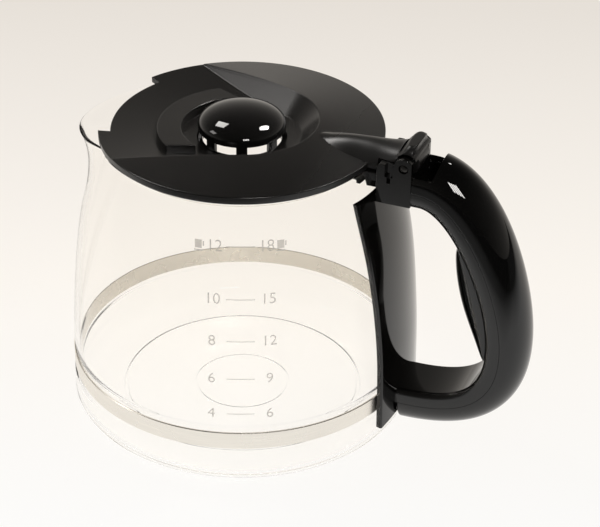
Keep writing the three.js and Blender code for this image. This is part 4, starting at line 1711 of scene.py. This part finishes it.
@dataclass
class DripDome:
    """Glossy cap over the drain, on posts that leave windows for the coffee."""

    radius: float = 18.5
    rim: float = 131.9
    rise: float = 7.8
    wall: float = 1.8
    flange_top: float = 123.4
    flange_reach: float = 2.1
    flange_thickness: float = 1.1
    windows: int = 8
    window_angle: float = 30.5
    window_low: float = 125.8
    window_top: float = 130.2
    window_inner: float = 6.0
    edge: float = 0.15
    segments: int = 144

    def cap(self, inset: float) -> list[Point]:
        """Half section of the cap, drawn in by an inset."""
        quarter = arc((0, 0), 1, 90, 0, 32)
        return [(x * (self.radius - inset), self.rim + z * (self.rise - inset)) for x, z in quarter]

    def window(self, azimuth: float) -> Piece:
        """A wedge that cuts one window, at an azimuth in degrees."""
        half, heights = self.window_angle / 2, (self.window_low, self.window_top)
        return Bench.wedge(self.window_inner, 2 * self.radius, azimuth, half, *heights)

    def build(self) -> Piece:
        """Makes the dome.

        Returns:
            The dome, which stands for its CAD node.
        """
        low = self.flange_top - self.flange_thickness
        profile = [
            *self.cap(0),
            (self.radius, self.flange_top),
            (self.radius + self.flange_reach, self.flange_top),
            (self.radius + self.flange_reach, low),
            (self.radius - self.wall, low),
            *reversed(self.cap(self.wall)),
        ]
        piece = Bench.turn("drain_dome", profile, self.segments)
        pitch = 360 / self.windows
        Bench.cut(piece, *[self.window(i * pitch) for i in range(self.windows)])
        Bench.smooth(Bench.soften(piece, self.edge, angle=50), angle=35)
        return dress(piece, GLOSS, Body.LID, Slot.GLOSS, ["drip_dome"])


@dataclass
class Lid:
    """Hinged lid: a cone with a keyhole recess, collar, arm and knuckle."""

    radius: float = 60.0
    edge_height: float = 130.8
    wall: float = 2.5
    cone_rise: float = 4.2
    rim_round: float = 0.45
    well_top: float = 32.4
    well_bottom: float = 24.7
    well_floor: float = 126.2
    well_flat: float = 22.0
    recess_rim: float = 130.4
    recess_angle: float = 68.0
    notch_half_angle: float = 26.0
    notch_radius: float = 55.0
    collar: Point = (25.4, 35.6)
    collar_end_angle: float = 67.0
    collar_end_distance: float = 16.9
    skirt: Point = (51.2, 53.4)
    skirt_bottom: float = 124.5
    pour_half_angle: float = 24.0
    seat: Point = (55.0, 58.4)
    seat_bottom: float = 126.6
    hook_half_width: float = 11.9
    lip_half_angle: float = 36.0
    arm_sections: tuple[tuple[float, ...], ...] = (
        (33.5, 134.5, 4.5, 1.8, 133.4, 133.7),
        (38.5, 135.0, 7.0, 1.75, 132.7, 133.0),
        (43.5, 135.9, 8.6, 1.65, 132.0, 132.3),
        (48.5, 136.6, 9.5, 1.5, 131.2, 131.5),
        (54.0, 137.0, 9.8, 1.2, 130.2, 130.5),
        (58.5, 137.2, 9.7, 0.95, 129.0, 130.3),
        (63.0, 137.2, 9.5, 0.75, 128.4, 130.6),
        (67.0, 137.3, 9.4, 0.6, 128.4, 131.4),
        (70.4, 137.6, 9.3, 0.45, 128.4, 132.2),
        (71.6, 137.9, 9.3, 0.4, 128.4, 132.6),
    )
    neck_half_width: float = 6.4
    cheek_start: float = 63.4
    cheek_top: float = 133.3
    cheek_room: float = 4.8
    drain: float = 18.8
    hinge: Point = HINGE
    knuckle_radius: float = 5.0
    knuckle_half_width: float = 6.5
    pin_room: float = 2.3
    edge: float = 0.3
    collar_edge: float = 0.4
    solid_bottom: float = 100.0
    segments: int = 180

    def recess_outline(self, height: float) -> list[Point]:
        """Plan of the recess at a height: round behind the dome, straight toward the lip.

        Args:
            height: Height on the lid.

        Returns:
            X and Y of its corners.
        """
        depth = self.edge_height + self.cone_rise - self.well_floor
        draft = (self.well_top - self.well_bottom) / depth
        radius = self.well_bottom + draft * (height - self.well_floor)
        wall = math.radians(self.recess_angle)
        ends = []
        for side in (1, -1):
            x = radius * math.cos(wall) - FAR * math.sin(wall)
            ends.append((x, side * (radius * math.sin(wall) + FAR * math.cos(wall))))
        count = round(self.recess_angle)
        return [*arc((0, 0), radius, -self.recess_angle, self.recess_angle, count), *ends]

    def recess(self) -> Piece:
        """The recess as a tool: sloping walls over a floor that falls from the rim to the drain.

        Returns:
            The closed tool.
        """
        heights = (self.well_floor - self.wall, self.edge_height + 3 * self.cone_rise)
        stations = [[mm(x, y, z) for x, y in self.recess_outline(z)] for z in heights]
        walls = Bench.loft("recess", stations)
        fall = (self.recess_rim - self.well_floor) / (self.radius - self.well_flat)
        profile = [
            (0, self.well_floor),
            (self.well_flat, self.well_floor),
            (FAR, self.recess_rim + fall * (FAR - self.radius)),
            (FAR, 2 * FAR),
            (0, 2 * FAR),
        ]
        return Bench.keep(walls, Bench.turn("above", profile, self.segments))

    def under_top(self, radius: float) -> Piece:
        """Everything under the lid's upper surface out to a radius, with a rounded rim.

        Args:
            radius: Radius of the rim.

        Returns:
            The closed solid.
        """
        slope = self.cone_rise / (self.radius - self.well_top)
        height = self.edge_height - slope * (radius - self.radius)
        r = self.rim_round
        tilt = math.degrees(math.atan(slope))
        rim = arc((radius - r, height - r), r, 0, 90 - tilt, 6)
        bottom = self.solid_bottom
        profile = [(0, bottom), (radius, bottom), *rim, (0, height + slope * radius)]
        return Bench.cut(Bench.turn("lid_moulding", profile, self.segments), self.recess())

    def rings(self) -> list[Piece]:
        """Skirt and rim seat under the lid, with room for lip, stream and hook.

        Returns:
            Skirt and seat.
        """
        skirt = Bench.ring(*self.skirt, self.skirt_bottom, FAR, self.segments)
        Bench.cut(skirt, Bench.wedge(LAP, FAR, LIP_SIDE, self.pour_half_angle, 0, self.seat_bottom))
        seat = Bench.ring(*self.seat, self.seat_bottom, FAR, self.segments)
        under = self.edge_height - self.wall
        hook = Bench.block((0, -self.hook_half_width, 0), (FAR, self.hook_half_width, under))
        Bench.cut(seat, hook, Bench.wedge(LAP, FAR, LIP_SIDE, self.lip_half_angle, 0, under))
        inside_plate = Matrix.Translation(mm(0, 0, -self.wall / 2))
        for part in (skirt, seat):
            Bench.keep(part, Bench.put(self.under_top(self.radius), inside_plate))
        return [skirt, seat]

    def collar_ring(self) -> Piece:
        """The open collar round the dome, with both ends cut straight.

        Returns:
            The closed collar.
        """
        inner, outer = self.collar
        ends = [
            self.collar_end_angle + math.degrees(math.acos(self.collar_end_distance / radius))
            for radius in self.collar
        ]
        outline = [
            *arc((0, 0), outer, ends[1], 360 - ends[1], 60),
            *arc((0, 0), inner, 360 - ends[0], ends[0], 60),
        ]
        piece = Bench.column("collar", outline, self.well_floor - LAP, self.edge_height)
        return Bench.soften(piece, self.collar_edge, angle=40, rounds=3)

    def arm(self) -> Piece:
        """The arm between lid and hinge, which grows out of the lid and widens toward the lever.

        Returns:
            The closed arm, with the cheeks' room cut from its underside.
        """
        stations = []
        for x, top, wide, fall, low, shoulder in self.smooth_arm():
            outline = [(-wide, low)]
            for u in steps(-1, 1, 40):
                outline.append((wide * u, shoulder + (top - shoulder) * (1 - u * u) ** fall))
            outline.append((wide, low))
            stations.append([mm(x, y, z) for y, z in outline])
        piece = Bench.loft("arm", stations)
        x, z = self.hinge
        for side in (-1, 1):
            near, far = sorted((side * self.neck_half_width, side * FAR))
            low = Bench.block((self.cheek_start, near, 0), (FAR, far, self.cheek_top))
            Bench.cut(piece, low, Bench.rod(mm(x, near, z), mm(x, far, z), self.cheek_room))
        return piece

    def smooth_arm(self) -> list[list[float]]:
        """Sections of the arm on smooth curves through the given ones.

        Returns:
            The sections' values.
        """
        rows = self.arm_sections
        made = []
        for i, (a, b) in enumerate(zip(rows, rows[1:])):
            before, after = rows[max(i - 1, 0)], rows[min(i + 2, len(rows) - 1)]
            for t in steps(0, 1, 6)[:-1]:
                made.append([GlassJug.spline(*values, t) for values in zip(before, a, b, after)])
        return [*made, list(rows[-1])]

    def build(self) -> Piece:
        """Makes the lid.

        Returns:
            The lid, which stands for its CAD node.
        """
        piece = self.under_top(self.radius)
        lower = Matrix.Translation(mm(0, 0, -self.wall))
        Bench.cut(piece, Bench.put(self.under_top(self.radius + LAP), lower))
        Bench.join(piece, *self.rings())
        notch = Bench.wedge(self.notch_radius, FAR, LIP_SIDE, self.notch_half_angle, 0, FAR)
        Bench.cut(piece, notch, Bench.ring(0, self.drain, 0, FAR, self.segments))
        Bench.soften(piece, self.edge, angle=30)
        half = self.knuckle_half_width
        knuckle = Bench.cross_rod(self.hinge, self.knuckle_radius, half, segments=72)
        arm = Bench.join(self.arm(), Bench.soften(knuckle, self.edge, angle=60))
        Bench.join(piece, self.collar_ring(), arm)
        Bench.cut(piece, Bench.cross_rod(self.hinge, self.pin_room, half_width=40))
        Bench.smooth(piece, angle=32)
        piece.name = "lid_moulding"
        return dress(piece, SATIN, Body.LID, Slot.SATIN, ["lid_cover"])


@dataclass
class ThumbLever:
    """Arched tongue on the knuckle that the thumb presses to lift the lid."""

    hinge: Point = HINGE
    seat: float = 5.3
    foot: Point = (35.5, 142.0)
    rise: float = 3.56
    skin: float = 0.4
    front: Point = (14.0, 62.0)
    back: Point = (57.0, 69.0)
    top: float = 8.32
    half_width: float = 9.4
    arch: Point = (2.6, 0.5)
    thin: float = 0.06
    proud: float = 0.02
    heel: float = 12.0

    def height(self, angle: float) -> float:
        """Height of the tongue over its seat at an angle round the hinge.

        Args:
            angle: Angle in degrees.

        Returns:
            The height.
        """
        back, front = self.foot
        crest = smoothstep(angle, *self.back)
        heel = self.skin * smoothstep(angle, back, back + self.heel)
        rise = smoothstep(front - angle, *self.front)
        return lerp(heel, self.skin + self.rise * rise, crest)

    def outline(self, across: float) -> list[Vector]:
        """Closed side outline at a share from -1 to 1 of the half width.

        Args:
            across: The share.

        Returns:
            The outline's points in metres.
        """
        power, root = self.arch
        share = max((1 - abs(across) ** power) ** root, self.thin)
        back, front = self.foot
        sides = [(self.seat, angle) for angle in steps(back, front, 16)]
        for angle in steps(front, back, 44):
            limit = self.top / math.sin(math.radians(angle))
            radius = self.seat + self.height(angle) * share + self.proud
            sides.append((min(radius, limit), angle))
        y = across * self.half_width
        return [mm(x, y, z) for x, z in (polar(self.hinge, *side) for side in sides)]

    def build(self) -> Piece:
        """Makes the lever.

        Returns:
            The lever, which stands for its CAD node.
        """
        shares = [math.sin(a * math.pi / 2) for a in steps(-1, 1, 48)]
        piece = Bench.loft("lever_moulding", [self.outline(share) for share in shares])
        Bench.smooth(piece, angle=50)
        return dress(piece, SATIN, Body.LID, Slot.SATIN, ["thumb_lever"])


@dataclass
class Screw:
    """A pan-head screw with a cross recess and a cut thread, drawn along Z from its seat."""

    name: str
    node: str
    head_radius: float
    head_height: float
    radius: float
    length: float
    pitch: float = 0.7
    thread: float = 0.25
    recess: Point = (3.4, 0.7)
    recess_depth: float = 1.1
    rim_share: float = 0.35

    def build(self, seat: Vector, way: Vector) -> Piece:
        """Makes the screw.

        Args:
            seat: Place under its head, in metres.
            way: Direction in which its head looks.

        Returns:
            The screw, which stands for its CAD node.
        """
        r, h, rim = self.head_radius, self.head_height, self.rim_share
        dome = [(r * x, rim * h + (1 - rim) * h * z) for x, z in arc((0, 0), 1, 90, 0, 10)]
        turns = int(self.length / self.pitch)
        core = self.radius - self.thread
        cuts = []
        for i in range(1, turns):
            cuts += [(self.radius, -i * self.pitch), (core, -(i + 0.5) * self.pitch)]
        tip = [(core, -self.length), (0, -self.length)]
        piece = Bench.turn(self.name, [*dome, (r, 0), (self.radius, 0), *cuts, *tip], segments=40)
        long, wide = (size / 2 for size in self.recess)
        for a, b in ((long, wide), (wide, long)):
            Bench.cut(piece, Bench.block((-a, -b, h - self.recess_depth), (a, b, h + LAP)))
        turn = way.to_track_quat("Z", "Y").to_matrix().to_4x4()
        Bench.put(piece, Matrix.Translation(seat) @ turn)
        Bench.smooth(piece, angle=40)
        return dress(piece, ZINC, Body.JUG, Slot.STEEL, [self.node])


@dataclass
class Fasteners:
    """Hinge pin, the band's screw and nut, and the two screws of the handle cover."""

    line: GripLine
    hinge: Point = HINGE
    pin_radius: float = 2.0
    pin_half_length: float = 12.0
    pin_dome: float = 0.7
    band_place: Point = (80.8, 18.8)
    band_seat: float = 4.0
    nut_size: float = 6.6
    nut_thickness: float = 3.2
    nut_bore: float = 2.2
    nut_edge: float = 0.35
    lower_share: float = 0.88
    lower_recess: float = 4.7
    grip_share: float = 0.44
    grip_seat: float = -0.3
    band_screw: Screw = field(
        default_factory=lambda: Screw("ear_screw", "band_screw", 3.3, 2.4, 1.9, 12.2)
    )
    lower_screw: Screw = field(
        default_factory=lambda: Screw("foot_screw", "cover_screw_lower", 3.0, 1.9, 1.6, 9.0)
    )
    grip_screw: Screw = field(
        default_factory=lambda: Screw("inner_screw", "cover_screw_grip", 3.0, 1.9, 1.6, 9.0)
    )

    def pin(self) -> Piece:
        """The blackened hinge pin, with domed ends.

        Returns:
            The pin, which stands for its CAD node.
        """
        dome, half = self.pin_dome, self.pin_half_length
        top = [(self.pin_radius * x, half - dome + dome * z) for x, z in arc((0, 0), 1, 90, 0, 12)]
        piece = Bench.turn("lid_pin", [*top, *[(r, -z) for r, z in reversed(top)]], segments=48)
        x, z = self.hinge
        Bench.put(piece, Matrix.Translation(mm(x, 0, z)) @ Matrix.Rotation(math.pi / 2, 4, "X"))
        Bench.smooth(piece, angle=40)
        return dress(piece, DARK_STEEL, Body.JUG, Slot.STEEL, ["hinge_pin"])

    def nut(self) -> Piece:
        """The square nut behind the band's ear, with broken edges.

        Returns:
            The nut, which stands for its CAD node.
        """
        x, z = self.band_place
        half = self.nut_size / 2
        low = (x - half, self.band_seat, z - half)
        piece = Bench.block(low, (x + half, self.band_seat + self.nut_thickness, z + half))
        piece.name = "square_nut"
        bore = Bench.cross_rod(self.band_place, self.nut_bore, half_width=30, segments=32)
        Bench.cut(piece, bore)
        Bench.smooth(Bench.soften(piece, self.nut_edge, angle=40), angle=40)
        return dress(piece, ZINC, Body.JUG, Slot.STEEL, ["band_nut"])

    def build(self) -> None:
        """Makes all fasteners in place."""
        self.pin()
        self.nut()
        x, z = self.band_place
        self.band_screw.build(mm(x, -self.band_seat, z), Vector((0, -1, 0)))
        deep = self.line.depth(self.lower_share) - self.lower_recess
        seat = self.line.place(self.lower_share, 0, deep)
        self.lower_screw.build(seat, self.line.place(self.lower_share, 0, deep + PAST) - seat)
        seat = self.line.place(self.grip_share, 0, self.grip_seat)
        outward = self.line.place(self.grip_share, 0, self.grip_seat + PAST)
        self.grip_screw.build(seat, seat - outward)


@dataclass
class Softbox:
    """A rectangular studio lamp that faces the carafe."""

    name: str
    azimuth: float
    elevation: float
    distance: float
    size: Point
    watts: float
    colour: Triple = (1.0, 0.97, 0.94)
    aim: Triple = (10.0, 0.0, 90.0)
    spread: float = 180.0

    def build(self) -> Piece:
        """Hangs the lamp.

        Returns:
            The lamp.
        """
        az, el = math.radians(self.azimuth), math.radians(self.elevation)
        away = Vector((math.cos(az) * math.cos(el), math.sin(az) * math.cos(el), math.sin(el)))
        Bench.clear()
        bpy.ops.object.light_add(type="AREA", location=mm(*self.aim) + away * self.distance)
        lamp = bpy.context.object
        lamp.name = self.name
        lamp.rotation_euler = away.to_track_quat("Z", "Y").to_euler()
        lamp.data.shape = "RECTANGLE"
        lamp.data.size, lamp.data.size_y = self.size
        lamp.data.energy = self.watts
        lamp.data.color = self.colour
        lamp.data.spread = math.radians(self.spread)
        lamp.visible_camera = False
        return lamp


@dataclass
class Studio:
    """Table, surround, lamps and camera of the photograph."""

    camera_place: Triple = (305.7, -720.1, 551.3)
    camera_turn: float = 21.167
    camera_tilt: float = 58.034
    camera_roll: float = 0.882
    lens: float = 127.3
    sensor: float = 36.0
    clip: float = 0.01
    sweep_azimuth: float = 111.0
    sweep_colour: Colour = (1.0, 0.94, 0.86, 1)
    sweep_levels: tuple[Point, ...] = (
        (0, 0.95),
        (0.26, 0.5),
        (0.53, 0.23),
        (0.755, 0.1),
        (1, 0.03),
    )
    glass_surround: Colour = (0.97, 0.94, 0.9, 1)
    glass_share: float = 0.85
    camera_side_level: float = 0.03
    table_size: float = 12.0
    table_drop: float = 0.1
    lamps: tuple[Softbox, ...] = (
        Softbox("lamp_left", 160, 57, 1.2, (0.3, 0.3), 3.6),
        Softbox("lamp_right", 44, 56, 0.28, (0.08, 0.08), 0.038, spread=21, aim=(0, 0, 136)),
        Softbox("panel_left", 204, 33, 1.2, (0.3, 0.3), 1.2),
        *[Softbox(f"window_pane_{i}", -63 + 4 * i, 31, 1.5, (0.06, 0.4), 1.8) for i in range(4)],
    )

    def table(self) -> None:
        """Lays the floor."""
        Bench.clear()
        bpy.ops.mesh.primitive_plane_add(size=self.table_size, location=(0, 0, 0))
        floor = bpy.context.object
        floor.name = "floor"
        Bench.put(floor, Matrix.Translation(mm(0, 0, -self.table_drop)))
        floor.data.materials.append(FLOOR.material())

    def surround(self) -> None:
        """Paints the room: a pale sweep behind the table, darker upward and toward the camera."""
        world = bpy.data.worlds.new("room")
        bpy.context.scene.world = world
        world.use_nodes = True
        graph = Graph(world.node_tree)
        way = graph.add("TexCoord").outputs["Generated"]
        height = graph.add("SeparateXYZ", {"Vector": way}).outputs["Z"]
        sweep = self.sweep_colour[:3]
        stops = [(at, tuple(level * c for c in sweep) + (1,)) for at, level in self.sweep_levels]
        pale = graph.ramp(height, stops)
        back = math.radians(self.sweep_azimuth)
        facing = graph.dot(way, (math.cos(back), math.sin(back), 0))
        share = graph.spread(facing, self.camera_side_level, 1, (-1.0, 1.0))
        room = graph.mix(1.0, pale, graph.grey(share), "MULTIPLY")
        through = graph.add("LightPath").outputs["Is Transmission Ray"]
        paler = graph.math("MULTIPLY", through, self.glass_share)
        colour = graph.mix(paler, room, self.glass_surround)
        background = graph.add("Background", {"Color": colour, "Strength": 1.0})
        out = graph.add("OutputWorld")
        graph.feed(out.inputs["Surface"], background.outputs["Background"])

    def camera(self) -> None:
        """Sets the camera up at the photograph's view."""
        Bench.clear()
        bpy.ops.object.camera_add()
        camera = bpy.context.object
        camera.name = "camera"
        camera.matrix_world = (
            Matrix.Translation(mm(*self.camera_place))
            @ Matrix.Rotation(math.radians(self.camera_turn), 4, "Z")
            @ Matrix.Rotation(math.radians(self.camera_tilt), 4, "X")
            @ Matrix.Rotation(math.radians(self.camera_roll), 4, "Z")
        )
        camera.data.sensor_width = self.sensor
        camera.data.sensor_fit = "HORIZONTAL"
        camera.data.lens = self.lens
        camera.data.clip_start = self.clip
        bpy.context.scene.camera = camera

    def build(self) -> None:
        """Sets the whole studio up."""
        bpy.context.scene.view_settings.view_transform = "Standard"
        self.table()
        self.surround()
        for lamp in self.lamps:
            lamp.build()
        self.camera()


def main() -> None:
    """Builds the carafe and its studio, piece by piece."""
    logging.basicConfig(level=logging.INFO, format="%(name)s %(message)s")
    Studio().build()
    jug, line, room = GlassJug(), GripLine(), LeverRoom()
    jug.build()
    CupScale(jug).build()
    ClampBand().build()
    HandleFrame(jug, line, room).build()
    Grip(line, room).build()
    DripDome().build()
    Lid().build()
    ThumbLever().build()
    Fasteners(line).build()


if __name__ == "__main__":
    main()
